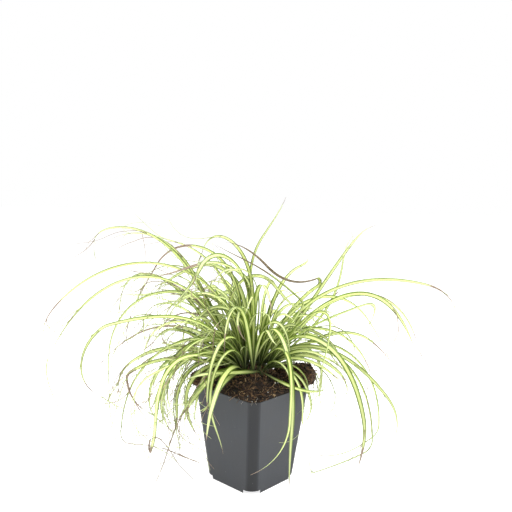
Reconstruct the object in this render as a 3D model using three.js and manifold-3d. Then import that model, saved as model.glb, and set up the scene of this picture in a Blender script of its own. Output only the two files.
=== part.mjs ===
// A variegated sedge growing in a square nursery pot.
// Millimetres, +Z up. The origin is on the ground under the middle of the pot, and one corner of the
// pot faces -Y. The shoots stand in holes in the potting mix, and each carries its own arching leaves.
import * as THREE from 'three';
import { mergeVertices } from 'three/addons/utils/BufferGeometryUtils.js';
import Module from 'manifold-3d';

const wasm = await Module();
wasm.setup();

// Pot
const POT_HEIGHT = 100;
const RIM_SIDE = 90;
const BASE_SIDE = 68;
const WALL = 1.0;
const CORNER_WIDTH = 13;
const CORNER_BULGE = 1.8;
const CORNER_STEPS = 4;
const FLOOR_UNDERSIDE = 3.0;
const FLOOR_TOP = 4.4;
const NOTCH_HEIGHT = 3.5;
const NOTCH_WIDTH = 17;
const NOTCH_DEPTH = 14;
const FOOT_RADIUS = 12;
const FOOT_SIDES = 24;
const DRAIN_RADIUS = 4;
const DRAIN_SIDES = 12;
const DRAIN_CIRCLE = 22;
const CUT_OVERRUN = 2;

// Potting mix
const SEAT_GAP = 0.3;
const MIX_EDGE = 99;
const MOUND = 18;
const MOUND_REACH = 54;
const MOUND_FLAT_REACH = 47;
const MOUND_POWER = 1.2;
const MIX_RINGS = 7;
const MIX_FLAT_STEPS = 5;
const RELIEF = 0.5;
// Waves of the mix's surface, in radians per millimetre
const RELIEF_ROWS = { x: 0.45, y: 0.38 };
const RELIEF_SLANT = { x: 0.6, y: 0.8 };
// Clods lying on the mix: centre, then half sizes.
const CLODS = [
  [53, 5, 108, 14, 15, 13],
  [36, 9, 107, 15, 15, 12],
  [-54, 3, 104, 12, 14, 8],
  [-36, 12, 107, 15, 14, 10],
  [4, 38, 104, 17, 10, 8],
];
const CLOD_DETAIL = 1;
const CLOD_LUMPS = 0.05;
const CLOD_WAVES = { x: 5, y: 6, z: 5 };
const CLOD_MOST = 1.06;

// Shoots, in rings about the middle of the tuft
const SHOOT_RINGS = [
  { count: 1, radius: 0, firstTurn: 0 },
  { count: 6, radius: 8, firstTurn: 20 },
  { count: 11, radius: 16, firstTurn: 8 },
];
const SHOOT_RADIUS = 2.4;
const SHOOT_SIDES = 6;
const SHOOT_STAND = 5;
const LEAF_SUNK = 2;
const HOLE_RADIUS = 3.0;
const HOLE_SIDES = 8;
const HOLE_DEPTH = 16;
const SHOOT_DEPTH = HOLE_DEPTH - SEAT_GAP;

// Leaves
const ROUTE_STEPS = 48;
const LEAF_DEPTH = 0.9;
const LEAF_GAP = 0.3;
const BASE_WIDTH_SHARE = 0.4;
const WIDENING = 2.4;
const TAPER_POWER = 4.5;
const THINNING = 2.2;
const CURL_FROM = 0.75;
const FOLD_SPAN = 0.05;
const FIRST_FREE_STEP = 6;
const LOWEST = 8;
const FACE_ROLL = 50;

// Leaves that stand out of the tuft, each as: shoot number, turn about the pot from +X, rise of the
// base over the horizon, fall of the end, length, share of the length where the bend is halfway,
// sideways veer, curl and hook of the end, width, and for a folded leaf the share of the length at
// the fold and its angle. Angles are in degrees.
const NAMED_LEAVES = [
  [2, 5, 100, 30, 185, 0.7, -20, 40, 30, 3.8],
  [7, 335, 55, 80, 200, 0.65, 35, -5, 50, 4.3, 0.4, 80],
  [2, 30, 60, -55, 280, 0.5, 20, 50, 0, 4.3, 0.4, 180],
  [17, 225, 10, -10, 100, 0.85, -55, -25, 0, 6.2],
  [15, 245, 70, -130, 165, 0.4, -10, 30, -60, 3.5],
  [7, 290, 90, -115, 245, 0.35, -10, 25, -20, 5.3],
  [7, 300, 55, -30, 265, 0.25, -40, 30, -40, 3.5],
  [4, 350, 115, -90, 175, 0.6, -25, 75, 30, 4.8],
  [14, 230, 85, -100, 290, 0.25, -75, 15, -25, 4.8, 0.7, -95],
  [18, 320, 80, -85, 235, 0.35, -30, -50, -40, 5.8],
  [18, 5, 70, -105, 330, 0.2, 15, -50, 85, 4.5, 0.6, -70],
  [14, 190, 90, -60, 345, 0.4, -15, 0, -110, 3.5],
  [14, 210, 65, -50, 275, 0.55, 15, -15, -25, 3.3],
  [13, 180, 65, -50, 270, 0.7, -10, -10, -100, 3.8],
  [14, 220, 80, 0, 300, 0.15, 25, -160, -50, 3.8],
  [8, 10, 75, -20, 285, 0.35, -5, -45, 50, 4.3],
  [18, 350, 55, -80, 220, 0.65, 10, 10, 0, 4.5],
  [8, 15, 55, 20, 195, 0.9, -60, -5, 70, 4.3],
  [13, 170, 65, -30, 220, 0.75, -5, 10, -20, 3.0],
  [4, 150, 80, -5, 215, 0.55, 0, 20, -15, 2.8],
  [13, 165, 95, -110, 265, 0.6, 0, 75, 105, 3.8],
  [12, 210, 110, -45, 205, 0.55, -10, 45, 10, 5.0],
  [13, 180, 80, -110, 290, 0.45, -5, 25, -5, 3.0],
  [14, 190, 30, -55, 160, 0.55, -5, -55, 55, 4.3],
  [14, 250, 75, -15, 180, 0.15, -25, -30, 50, 4.3],
  [14, 205, 20, -65, 180, 0.6, -15, -30, 50, 4.3, 0.65, -60],
  [14, 230, 30, -25, 305, 0.4, 50, 50, -30, 4.0, 0.85, 190],
  [15, 220, 35, -105, 165, 0.55, -5, -25, -45, 4.3],
  [5, 205, 95, -110, 225, 0.65, 50, 85, -80, 5.8],
  [4, 145, 90, -70, 185, 0.65, 65, 50, -25, 5.3],
  [5, 225, 105, 15, 110, 0.5, -45, -10, -5, 5.0],
  [13, 180, 65, 5, 120, 0.65, -25, -30, -40, 4.3],
  [5, 205, 100, -10, 105, 0.45, -10, -10, -5, 4.3],
  [8, 20, 35, 75, 195, 0.6, 60, -60, -30, 2.8],
  [18, 315, 60, -45, 290, 0.45, -75, -155, -5, 3.0],
  [18, 320, 65, -25, 275, 0.5, -60, 10, -5, 4.8],
  [18, 305, 65, 20, 260, 0.1, -15, -60, -65, 4.3],
  [2, 35, 80, -15, 160, 0.65, 15, 25, 40, 4.3],
  [18, 330, 90, -75, 210, 0.35, 40, -90, 5, 4.5],
  [8, 10, 30, -65, 165, 0.65, 5, 20, -5, 4.3],
  [8, 20, 80, -70, 225, 0.45, 0, 10, -55, 4.3],
  [17, 310, -10, 25, 145, 0.4, -30, 20, -30, 4.0],
  [18, 340, 45, -40, 85, 0.55, 5, 30, 20, 4.3],
  [18, 330, 50, -30, 90, 0.35, 5, -15, 0, 4.3],
  [8, 350, 65, -50, 195, 0.25, -25, -60, 55, 4.3],
  [8, 5, 55, -110, 295, 0.3, 5, -55, 30, 3.3, 0.65, -50],
  [17, 305, 50, -70, 60, 0.55, 10, -20, 0, 2.8],
  [15, 240, 30, -40, 140, 0.35, 5, 0, 10, 6.0],
  [15, 225, 20, -55, 95, 0.45, -5, 10, -10, 6.2],
  [15, 235, 10, -40, 80, 0.4, 5, 15, -25, 5.2],
  [14, 220, 15, -50, 90, 0.35, 0, 0, 0, 5.8],
];
const NAMED_GROWTH = { segments: 8, tries: 60, margin: 1.6, crossesOwn: true, isParted: false };
const NAMED_SEED = 77000;
const SEEDS_PER_LEAF = 100;
const NAMED_NUDGE = { turn: 6, rise: 5, veer: 8, long: 0.05 };
const FIRST_NUDGE = 0.25;
const MORE_NUDGE = 0.06;
const MOST_NUDGE = 1.5;

// The other leaves of each shoot, drawn by seed. Ranges are [least, most], and where the two sides
// of the tuft differ, the long side has its own.
const FILL_RINGS = [
  { spread: 180, rise: [45, 99], lift: 0 },
  { spread: 69, rise: [59, 101], lift: 0 },
  { spread: 31, rise: [2, 81], lift: 26 },
];
const LONG_SIDE_TURN = 199;
const LONG_SIDE = { leaves: 22, long: [44, 244], fall: [-132, -10] };
const SHORT_SIDE = { leaves: 14, long: [91, 147], fall: [-113, -35] };
const FILL_BENDS = [0.3, 0.8];
const FILL_WIDTHS = [3.6, 5.8];
const LONG_SHARE_POWER = 1.68;
const MOST_VEER = 31;
const MOST_CURL = 56;
const MOST_HOOK = 45;
const FILL_FACE_ROLL = 25;
const MOST_ROLL = 35;
const MOST_TWIST = 50;
const FILL_GROWTH = { segments: 6, tries: 30, margin: 2.0, crossesOwn: false, isParted: true };
const FILL_SEED = 10000;

// The last leaves of the long side hang over the pot's rim, and may cross those of their own shoot.
const SIDE_LEAVES = 3;
const SIDE_SHARE = 0.41;
const SIDE_SPREAD = 38;
const SIDE_RISES = [36, 98];
const SIDE_LENGTHS = [79, 169];
const SIDE_FALLS = [-100, -56];
const SIDE_GROWTH = { segments: 5, tries: 30, margin: 2.0, crossesOwn: true, isParted: true };
const SIDE_SEED = 500000;

// The front of the tuft is parted: leaves that would face it go to either side, steeper and shorter.
const PARTING_TURN = 258;
const PARTING_HALF = 110;
const PARTING_PUSH = 29;
const PARTING_RISE = 28;
const PARTING_SHORTER = 0.5;
const PARTING_LIFT = 0.14;
// No drawn leaf hangs in this space before the crown, so the mix shows there.
const PARTING_SPACE = { side: 36, back: -24, top: 138 };

// Colour, roughness and metalness of each kind of piece
const POT_LOOK = { color: 0x57595f, roughness: 0.45, metalness: 0 };
const MIX_LOOK = { color: 0x4a3120, roughness: 1, metalness: 0 };
const LEAF_LOOK = { color: 0xa9c455, roughness: 0.55, metalness: 0 };

const degrees = THREE.MathUtils.degToRad;
const mix = THREE.MathUtils.lerp;
const clamp = (value) => THREE.MathUtils.clamp(value, 0, 1);
const smooth = (value) => value * value * (3 - 2 * value);

// Seeded numbers from 0 to 1 (the mulberry32 generator).
function randomSource(seed) {
  let state = seed >>> 0;
  return () => {
    state = (state + 0x6d2b79f5) >>> 0;
    let mixed = Math.imul(state ^ (state >>> 15), state | 1);
    mixed = (mixed + Math.imul(mixed ^ (mixed >>> 7), mixed | 61)) ^ mixed;
    return ((mixed ^ (mixed >>> 14)) >>> 0) / 2 ** 32;
  };
}

// ---- solids ----

function toSolid(geometry) {
  geometry.deleteAttribute('normal');
  geometry.deleteAttribute('uv');
  const merged = mergeVertices(geometry, 1e-5);
  return new wasm.Manifold(
    new wasm.Mesh({
      numProp: 3,
      vertProperties: new Float32Array(merged.attributes.position.array),
      triVerts: new Uint32Array(merged.index.array),
    }),
  );
}

function toMesh(name, solid, look) {
  const mesh = solid.getMesh();
  const geometry = new THREE.BufferGeometry();
  geometry.setAttribute('position', new THREE.BufferAttribute(new Float32Array(mesh.vertProperties), 3));
  geometry.setIndex(new THREE.BufferAttribute(new Uint32Array(mesh.triVerts), 1));
  geometry.computeVertexNormals();
  const piece = new THREE.Mesh(geometry, new THREE.MeshStandardMaterial(look));
  piece.name = name;
  return piece;
}

// The largest shell of a fused solid: hollows that fusing sealed are filled and loose scraps dropped.
function outerShell(solid) {
  const shells = solid.decompose();
  return shells.reduce((largest, shell) => (shell.volume() > largest.volume() ? shell : largest));
}

// A closed solid through rings of equally many points, each counter-clockwise seen from beyond the last
// ring. The first ring is flat; the last one is flat or a single point.
function loft(rings) {
  const points = rings.flat();
  const count = rings[0].length;
  const index = [];
  for (let row = 0; row + 1 < rings.length; row += 1) {
    const low = row * count;
    const high = low + count;
    for (let i = 0; i < count; i += 1) {
      const next = (i + 1) % count;
      if (rings[row + 1].length === 1) {
        index.push(low + i, low + next, high);
      } else {
        index.push(low + i, low + next, high + next, low + i, high + next, high + i);
      }
    }
  }
  const last = (rings.length - 1) * count;
  for (let i = 1; i + 1 < count; i += 1) {
    index.push(0, i + 1, i);
    if (rings.at(-1).length > 1) {
      index.push(last, last + i, last + i + 1);
    }
  }
  const geometry = new THREE.BufferGeometry().setFromPoints(points);
  geometry.setIndex(index);
  return toSolid(geometry);
}

function circle(x, y, z, radius, sides) {
  return Array.from({ length: sides }, (_, i) => {
    const turn = (2 * Math.PI * i) / sides;
    return new THREE.Vector3(x + radius * Math.cos(turn), y + radius * Math.sin(turn), z);
  });
}

function post(x, y, low, high, radius, sides) {
  return loft([circle(x, y, low, radius, sides), circle(x, y, high, radius, sides)]);
}

function block(size, centre, turn = 0) {
  const geometry = new THREE.BoxGeometry(...size);
  geometry.translate(...centre);
  geometry.rotateZ(turn);
  return toSolid(geometry);
}

// ---- pot ----

// Half the side of the pot's outer square at a height.
const potHalf = (z) => (BASE_SIDE + ((RIM_SIDE - BASE_SIDE) * z) / POT_HEIGHT) / 2;

// How far the chord of a corner strip lies from the pot's axis.
const chordOut = (half) => half * Math.SQRT2 - CORNER_WIDTH / 2;

// The square outline with a bulged strip across each corner; the corners face along X and Y.
function potOutline(half, z) {
  const points = [];
  for (let corner = 0; corner < 4; corner += 1) {
    for (let step = 0; step <= CORNER_STEPS; step += 1) {
      const along = (2 * step) / CORNER_STEPS - 1;
      const point = new THREE.Vector3(chordOut(half), (along * CORNER_WIDTH) / 2, z);
      point.x += CORNER_BULGE * (1 - along * along);
      points.push(point.applyAxisAngle(new THREE.Vector3(0, 0, 1), (corner * Math.PI) / 2));
    }
  }
  return points;
}

function tub(low, high, inset) {
  return loft([potOutline(potHalf(low) - inset, low), potOutline(potHalf(high) - inset, high)]);
}

function makePot() {
  let pot = tub(0, POT_HEIGHT, 0);
  pot = pot.subtract(tub(FLOOR_TOP, POT_HEIGHT + CUT_OVERRUN, WALL));
  pot = pot.subtract(tub(-CUT_OVERRUN, FLOOR_UNDERSIDE, WALL));
  const notchSize = [NOTCH_DEPTH, NOTCH_WIDTH, NOTCH_HEIGHT + CUT_OVERRUN];
  const notchCentre = [chordOut(potHalf(0)), 0, (NOTCH_HEIGHT - CUT_OVERRUN) / 2];
  for (let corner = 0; corner < 4; corner += 1) {
    const turn = (corner * Math.PI) / 2;
    const x = DRAIN_CIRCLE * Math.cos(turn);
    const y = DRAIN_CIRCLE * Math.sin(turn);
    pot = pot.subtract(block(notchSize, notchCentre, turn));
    pot = pot.subtract(post(x, y, 0, FLOOR_TOP + CUT_OVERRUN, DRAIN_RADIUS, DRAIN_SIDES));
  }
  return pot.add(post(0, 0, 0, (FLOOR_UNDERSIDE + FLOOR_TOP) / 2, FOOT_RADIUS, FOOT_SIDES));
}

// ---- potting mix ----

// How far a point lies from the pot's axis towards its nearest flat side.
const towardsFlat = (x, y) => Math.max(Math.abs(x + y), Math.abs(y - x)) * Math.SQRT1_2;

function mixHeight(x, y) {
  const out = Math.max(Math.hypot(x, y) / MOUND_REACH, towardsFlat(x, y) / MOUND_FLAT_REACH);
  return MIX_EDGE + MOUND * clamp(1 - out * out) ** MOUND_POWER;
}

function relief(x, y) {
  const rows = Math.sin(RELIEF_ROWS.x * x + 1) * Math.cos(RELIEF_ROWS.y * y);
  return RELIEF * (rows + Math.sin(RELIEF_SLANT.y * y - RELIEF_SLANT.x * x));
}

// The inside of the pot at a height, with extra points along its flats.
function mixOutline(z) {
  const outline = potOutline(potHalf(z) - WALL - SEAT_GAP, z);
  return outline.flatMap((point, i) => {
    const isFlat = i % (CORNER_STEPS + 1) === CORNER_STEPS;
    const next = outline[(i + 1) % outline.length];
    const steps = isFlat ? MIX_FLAT_STEPS : 1;
    return Array.from({ length: steps }, (_, step) => point.clone().lerp(next, step / steps));
  });
}

// A lumpy egg of mix, cut flat just above the pot's rim.
function makeClod([x, y, z, wide, deep, high], number) {
  const geometry = new THREE.IcosahedronGeometry(1, CLOD_DETAIL);
  const place = geometry.attributes.position;
  for (let i = 0; i < place.count; i += 1) {
    const point = new THREE.Vector3().fromBufferAttribute(place, i);
    const rows = Math.sin(CLOD_WAVES.x * point.x + number);
    const lumps = Math.sin(CLOD_WAVES.y * point.y - number) * Math.cos(CLOD_WAVES.z * point.z);
    point.multiplyScalar(1 + (CLOD_LUMPS * (rows + lumps)) / 2);
    place.setXYZ(i, x + wide * point.x, y + deep * point.y, z + high * point.z);
  }
  const reach = 4 * RIM_SIDE;
  const belowRim = block([reach, reach, reach], [0, 0, POT_HEIGHT + SEAT_GAP - reach / 2]);
  return toSolid(geometry).subtract(belowRim);
}

function makeMix(shoots) {
  const rings = [mixOutline(FLOOR_TOP + SEAT_GAP), mixOutline(MIX_EDGE)];
  for (let ring = MIX_RINGS - 1; ring > 0; ring -= 1) {
    const shrink = new THREE.Vector3(ring / MIX_RINGS, ring / MIX_RINGS, 1);
    const points = mixOutline(MIX_EDGE).map((point) => point.multiply(shrink));
    points.forEach((point) => point.setZ(mixHeight(point.x, point.y) + relief(point.x, point.y)));
    rings.push(points);
  }
  const heap = loft([...rings, [new THREE.Vector3(0, 0, mixHeight(0, 0))]]);
  const holes = shoots.map(({ x, y, ground }) =>
    post(x, y, ground - HOLE_DEPTH, ground + SHOOT_STAND, HOLE_RADIUS, HOLE_SIDES),
  );
  return outerShell(wasm.Manifold.union([heap, ...CLODS.map(makeClod)]).subtract(wasm.Manifold.union(holes)));
}

// How far a point is clear of the pot and the mix; negative inside them.
function clearance({ x, y, z }) {
  const half = potHalf(clamp(z / POT_HEIGHT) * POT_HEIGHT);
  const pastFlat = towardsFlat(x, y) - half;
  const pastCorner = Math.max(Math.abs(x), Math.abs(y)) - chordOut(half) - CORNER_BULGE;
  const above = z - Math.max(POT_HEIGHT, mixHeight(x, y));
  const pastClods = CLODS.map(([cx, cy, cz, wide, deep, high]) => {
    const out = Math.hypot((x - cx) / wide, (y - cy) / deep, (z - cz) / high);
    return (out - CLOD_MOST) * Math.min(wide, deep, high);
  });
  return Math.min(Math.max(pastFlat, pastCorner, above), ...pastClods);
}

// ---- leaves ----

// The middle line of a leaf, from inside its shoot to its tip.
function leafRoute(shoot, leaf) {
  const route = [new THREE.Vector3(shoot.x, shoot.y, shoot.ground + SHOOT_STAND - LEAF_SUNK)];
  const power = Math.log(0.5) / Math.log(leaf.bend);
  const length = leaf.long / ROUTE_STEPS;
  for (let step = 0; step < ROUTE_STEPS; step += 1) {
    const share = (step + 0.5) / ROUTE_STEPS;
    const bent = smooth(share ** power);
    const end = clamp((share - CURL_FROM) / (1 - CURL_FROM));
    const folded = leaf.fold * clamp((share - leaf.foldAt) / FOLD_SPAN);
    const pitch = degrees(mix(leaf.rise, leaf.fall, bent) + leaf.curl * end + folded);
    const heading = degrees(leaf.turn + leaf.veer * bent + leaf.hook * end);
    const level = length * Math.cos(pitch);
    const move = new THREE.Vector3(level * Math.cos(heading), level * Math.sin(heading), 0);
    move.z = length * Math.sin(pitch);
    route.push(route.at(-1).clone().add(move));
  }
  return route;
}

// The sideways and upward directions of the leaf's face at every point of its route.
function leafFaces(route, leaf) {
  const last = route.length - 1;
  const heading = degrees(leaf.turn);
  const side = new THREE.Vector3(-Math.sin(heading), Math.cos(heading), 0);
  return route.map((_, i) => {
    const along = route[Math.min(i + 1, last)].clone().sub(route[Math.max(i - 1, 0)]).normalize();
    side.addScaledVector(along, -side.dot(along)).normalize();
    const roll = degrees(leaf.roll + (leaf.twist * i) / last);
    const turned = side.clone().applyAxisAngle(along, roll);
    return { side: turned, up: along.clone().cross(turned) };
  });
}

// Stations along a leaf: its middle there, and the way from it to the two edges and the keel.
function leafStations(shoot, leaf, segments) {
  const route = leafRoute(shoot, leaf);
  const faces = leafFaces(route, leaf);
  return Array.from({ length: segments + 1 }, (_, number) => {
    const i = Math.round((number * ROUTE_STEPS) / segments);
    const share = i / ROUTE_STEPS;
    const shape = Math.min(1, BASE_WIDTH_SHARE + WIDENING * share) * (1 - share ** TAPER_POWER);
    const across = faces[i].side.multiplyScalar((leaf.wide * shape) / 2);
    const thick = faces[i].up.multiplyScalar((LEAF_DEPTH * Math.min(1, THINNING * (1 - share))) / 2);
    const edges = [thick.clone().add(across), thick.clone().sub(across)];
    return { middle: route[i], offsets: [...edges, thick.clone().negate()] };
  });
}

function makeLeaf(stations) {
  const rings = stations.map(({ middle, offsets }) => offsets.map((offset) => middle.clone().add(offset)));
  return loft([...rings.slice(0, -1), [stations.at(-1).middle]]);
}

// The stretches of a leaf between its stations, as straight pieces with the reach of both end sections.
function leafPieces(stations) {
  return stations.slice(1).map((to, i) => {
    const from = stations[i];
    const along = to.middle.clone().sub(from.middle);
    return makePiece(from.middle, along, [...from.offsets, ...to.offsets]);
  });
}

function makePiece(start, along, offsets) {
  const reach = along.length() + Math.max(...offsets.map((offset) => offset.length()));
  return { start, along, offsets, reach };
}

// The shortest step from one straight piece's middle line to another's.
function stepBetween(a, b) {
  const apart = a.start.clone().sub(b.start);
  const aa = a.along.dot(a.along);
  const bb = b.along.dot(b.along);
  const ab = a.along.dot(b.along);
  const aApart = a.along.dot(apart);
  const bApart = b.along.dot(apart);
  const skew = aa * bb - ab * ab;
  let onA = skew > Number.EPSILON ? clamp((ab * bApart - aApart * bb) / skew) : 0;
  const onB = (ab * onA + bApart) / bb;
  if (onB < 0) {
    onA = clamp(-aApart / aa);
  } else if (onB > 1) {
    onA = clamp((ab - aApart) / aa);
  }
  return b.along.clone().multiplyScalar(clamp(onB)).addScaledVector(a.along, -onA).sub(apart);
}

// The room left between two pieces along the shortest step between them.
function roomBetween(a, b) {
  const step = stepBetween(a, b);
  const distance = step.length();
  step.normalize();
  const reachA = Math.max(...a.offsets.map((offset) => offset.dot(step)));
  const reachB = Math.max(...b.offsets.map((offset) => -offset.dot(step)));
  return distance - reachA - reachB;
}

function isClear(a, b) {
  const farApart = a.start.distanceTo(b.start) > a.reach + b.reach + LEAF_GAP;
  return farApart || roomBetween(a, b) > LEAF_GAP;
}

const areClear = (pieces, others) => pieces.every((piece) => others.every((other) => isClear(piece, other)));

const isInParting = ({ x, y, z }) =>
  Math.abs(x) < PARTING_SPACE.side && y < PARTING_SPACE.back && z < PARTING_SPACE.top;

// Gives the shoot the first leaf, of those that draw(attempt) proposes, that is clear of the pot, the
// ground and everything on the other shoots. A parted leaf also stays out of the parting. Unless it
// may cross its own shoot's leaves, it is clear of them too beyond its first piece.
function growLeaf(shoots, shoot, growth, draw) {
  const others = shoots.filter((other) => other !== shoot).flatMap((other) => other.pieces);
  const own = growth.crossesOwn ? [] : shoot.pieces.slice(1);
  for (let attempt = 0; attempt < growth.tries; attempt += 1) {
    const leaf = draw(attempt);
    const free = leafRoute(shoot, leaf).slice(FIRST_FREE_STEP);
    const stations = leafStations(shoot, leaf, growth.segments);
    const pieces = leafPieces(stations);
    const offPot = free.every((point) => point.z > LOWEST && clearance(point) > growth.margin);
    const isOpen = !growth.isParted || !free.some(isInParting);
    if (offPot && isOpen && areClear(pieces, others) && areClear(pieces.slice(1), own)) {
      shoot.pieces.push(...pieces);
      shoot.leaves.push(makeLeaf(stations));
      return;
    }
  }
}

// A named leaf, nudged a little more with each attempt.
function namedLeaf(row, number, attempt) {
  const [, turn, rise, fall, long, bend, veer, curl, hook, wide, foldAt = 1, fold = 0] = row;
  const random = randomSource(NAMED_SEED + SEEDS_PER_LEAF * number + attempt);
  const nudge = attempt === 0 ? 0 : Math.min(MOST_NUDGE, FIRST_NUDGE + MORE_NUDGE * attempt);
  const swing = () => nudge * (2 * random() - 1);
  return {
    turn: turn + NAMED_NUDGE.turn * swing(),
    rise: rise + NAMED_NUDGE.rise * swing(),
    veer: veer + NAMED_NUDGE.veer * swing(),
    long: long * (1 + NAMED_NUDGE.long * swing()),
    roll: FACE_ROLL * Math.cos(degrees(turn)),
    twist: 0,
    ...{ fall, bend, curl, hook, wide, foldAt, fold },
  };
}

// How much a turn belongs to the long side of the tuft, from 0 to 1.
const longShare = (turn) => (1 + Math.cos(degrees(turn - LONG_SIDE_TURN))) / 2;

const within = ([least, most], share) => mix(least, most, share);

// A leaf drawn by seed, long and drooping on the long side and turned away from the parting.
function fillLeaf(shoot, random) {
  const ring = FILL_RINGS[shoot.ring];
  const swing = () => 2 * random() - 1;
  const aimed = shoot.turn + ring.spread * swing();
  const offParting = THREE.MathUtils.euclideanModulo(aimed - PARTING_TURN + 180, 360) - 180;
  const parted = clamp(1 - Math.abs(offParting) / PARTING_HALF);
  const turn = aimed + PARTING_PUSH * parted * Math.sign(offParting);
  const side = longShare(turn);
  const sided = (what, share) => mix(within(SHORT_SIDE[what], share), within(LONG_SIDE[what], share), side);
  const lifted = ring.rise[0] + ring.lift * (1 - side);
  const rise = mix(lifted, ring.rise[1], random());
  const long = sided('long', random() ** LONG_SHARE_POWER);
  const fall = sided('fall', random());
  return {
    turn,
    rise: parted > 0 ? Math.max(rise, PARTING_RISE) : rise,
    long: long * (1 - PARTING_SHORTER * parted),
    fall: fall * (1 - PARTING_LIFT * parted),
    bend: within(FILL_BENDS, random()),
    veer: MOST_VEER * swing(),
    curl: MOST_CURL * swing(),
    hook: MOST_HOOK * swing(),
    wide: within(FILL_WIDTHS, random()),
    roll: FILL_FACE_ROLL * Math.cos(degrees(turn)) + MOST_ROLL * swing(),
    twist: MOST_TWIST * swing(),
    foldAt: 1,
    fold: 0,
  };
}

// One of the last leaves of the long side.
function sideLeaf(shoot, random) {
  return {
    ...fillLeaf(shoot, random),
    turn: shoot.turn + SIDE_SPREAD * (2 * random() - 1),
    rise: within(SIDE_RISES, random()),
    long: within(SIDE_LENGTHS, random()),
    fall: within(SIDE_FALLS, random()),
  };
}

// ---- shoots ----

function makeShoots() {
  const shoots = [];
  SHOOT_RINGS.forEach(({ count, radius, firstTurn }, ring) => {
    for (let i = 0; i < count; i += 1) {
      const turn = firstTurn + (360 * i) / count;
      const x = radius * Math.cos(degrees(turn));
      const y = radius * Math.sin(degrees(turn));
      const ground = mixHeight(x, y);
      const foot = new THREE.Vector3(x, y, ground - SHOOT_DEPTH);
      const stem = makePiece(foot, new THREE.Vector3(0, 0, SHOOT_DEPTH + SHOOT_STAND),
        circle(0, 0, 0, SHOOT_RADIUS, SHOOT_SIDES));
      shoots.push({ ring, turn, x, y, ground, pieces: [stem], leaves: [] });
    }
  });
  return shoots;
}

function growTuft(shoots) {
  NAMED_LEAVES.forEach((row, number) => {
    growLeaf(shoots, shoots[row[0] - 1], NAMED_GROWTH, (attempt) => namedLeaf(row, number, attempt));
  });
  for (let round = 0; round < LONG_SIDE.leaves; round += 1) {
    shoots.forEach((shoot, number) => {
      const wanted = mix(SHORT_SIDE.leaves, LONG_SIDE.leaves, longShare(shoot.turn));
      if (round < Math.round(wanted)) {
        const seed = FILL_SEED * (number + 1) + SEEDS_PER_LEAF * round;
        growLeaf(shoots, shoot, FILL_GROWTH, (attempt) => fillLeaf(shoot, randomSource(seed + attempt)));
      }
    });
  }
  for (let round = 0; round < SIDE_LEAVES; round += 1) {
    shoots.forEach((shoot, number) => {
      if (longShare(shoot.turn) > SIDE_SHARE) {
        const seed = SIDE_SEED + FILL_SEED * (number + 1) + SEEDS_PER_LEAF * round;
        growLeaf(shoots, shoot, SIDE_GROWTH, (attempt) => sideLeaf(shoot, randomSource(seed + attempt)));
      }
    });
  }
}

function makeShoot({ x, y, ground, leaves }) {
  const stem = post(x, y, ground - SHOOT_DEPTH, ground + SHOOT_STAND, SHOOT_RADIUS, SHOOT_SIDES);
  return outerShell(wasm.Manifold.union([stem, ...leaves]));
}

// ---- the plant in its pot ----

const places = makeShoots();
growTuft(places);
// A place where no leaf found room has no shoot.
const shoots = places.filter(({ leaves }) => leaves.length > 0);

const sedge = new THREE.Group();
sedge.add(toMesh('pot', makePot(), POT_LOOK));
sedge.add(toMesh('potting_mix', makeMix(shoots), MIX_LOOK));
shoots.forEach((shoot, number) => {
  const name = `shoot_${String(number + 1).padStart(2, '0')}`;
  sedge.add(toMesh(name, makeShoot(shoot), LEAF_LOOK));
});

export default sedge;
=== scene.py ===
# The looks of a variegated sedge in a square nursery pot.
#
# Lengths are millimetres where nothing else is said, and Blender gets them as metres. The leaves grow by
# the same seeded rule as the frame's shoots, so every fine leaf lies on its coarse one.
import sys
from math import ceil, copysign, cos, inf, log, pi, radians, sin, sqrt

import bmesh
import bpy
import numpy as np
from mathutils import Euler, Matrix, Vector, noise


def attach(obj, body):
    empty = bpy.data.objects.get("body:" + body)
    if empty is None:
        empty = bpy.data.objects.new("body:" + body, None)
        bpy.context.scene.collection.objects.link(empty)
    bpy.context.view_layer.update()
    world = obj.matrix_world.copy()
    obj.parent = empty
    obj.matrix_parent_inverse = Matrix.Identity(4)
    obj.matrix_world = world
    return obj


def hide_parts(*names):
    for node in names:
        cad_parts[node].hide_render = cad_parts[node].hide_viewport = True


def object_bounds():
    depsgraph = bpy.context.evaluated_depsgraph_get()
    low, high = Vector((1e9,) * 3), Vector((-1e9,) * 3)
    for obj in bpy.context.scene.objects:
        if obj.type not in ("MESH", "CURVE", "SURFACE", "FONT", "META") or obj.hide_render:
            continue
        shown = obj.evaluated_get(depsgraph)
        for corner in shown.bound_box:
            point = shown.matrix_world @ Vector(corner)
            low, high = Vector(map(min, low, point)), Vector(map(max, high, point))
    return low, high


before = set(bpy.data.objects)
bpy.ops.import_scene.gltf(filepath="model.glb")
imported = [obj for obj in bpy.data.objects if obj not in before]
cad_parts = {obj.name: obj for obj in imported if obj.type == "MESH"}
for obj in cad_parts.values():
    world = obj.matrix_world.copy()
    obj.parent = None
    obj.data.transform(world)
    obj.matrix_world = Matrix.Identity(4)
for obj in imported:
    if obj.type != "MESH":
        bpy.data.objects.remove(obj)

cad_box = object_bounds()
MM = 0.001
WORD = 0xFFFFFFFF  # the 32 bits of a seeded number

# ---- the pot ----
POT_HEIGHT = 100
RIM_SIDE = 90
BASE_SIDE = 68
WALL = 1.0
CORNER_WIDTH = 13
CORNER_BULGE = 1.8
CORNER_STEPS = 14
RIM_ROUND = 0.3
FLOOR_UNDERSIDE = 3.0
FLOOR_TOP = 4.4
NOTCH_HEIGHT = 3.5
NOTCH_WIDTH = 17
NOTCH_DEPTH = 14
FOOT_RADIUS = 12
DRAIN_RADIUS = 4
DRAIN_CIRCLE = 22
ROUND_SIDES = 48
CUT_OVERRUN = 2

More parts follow.
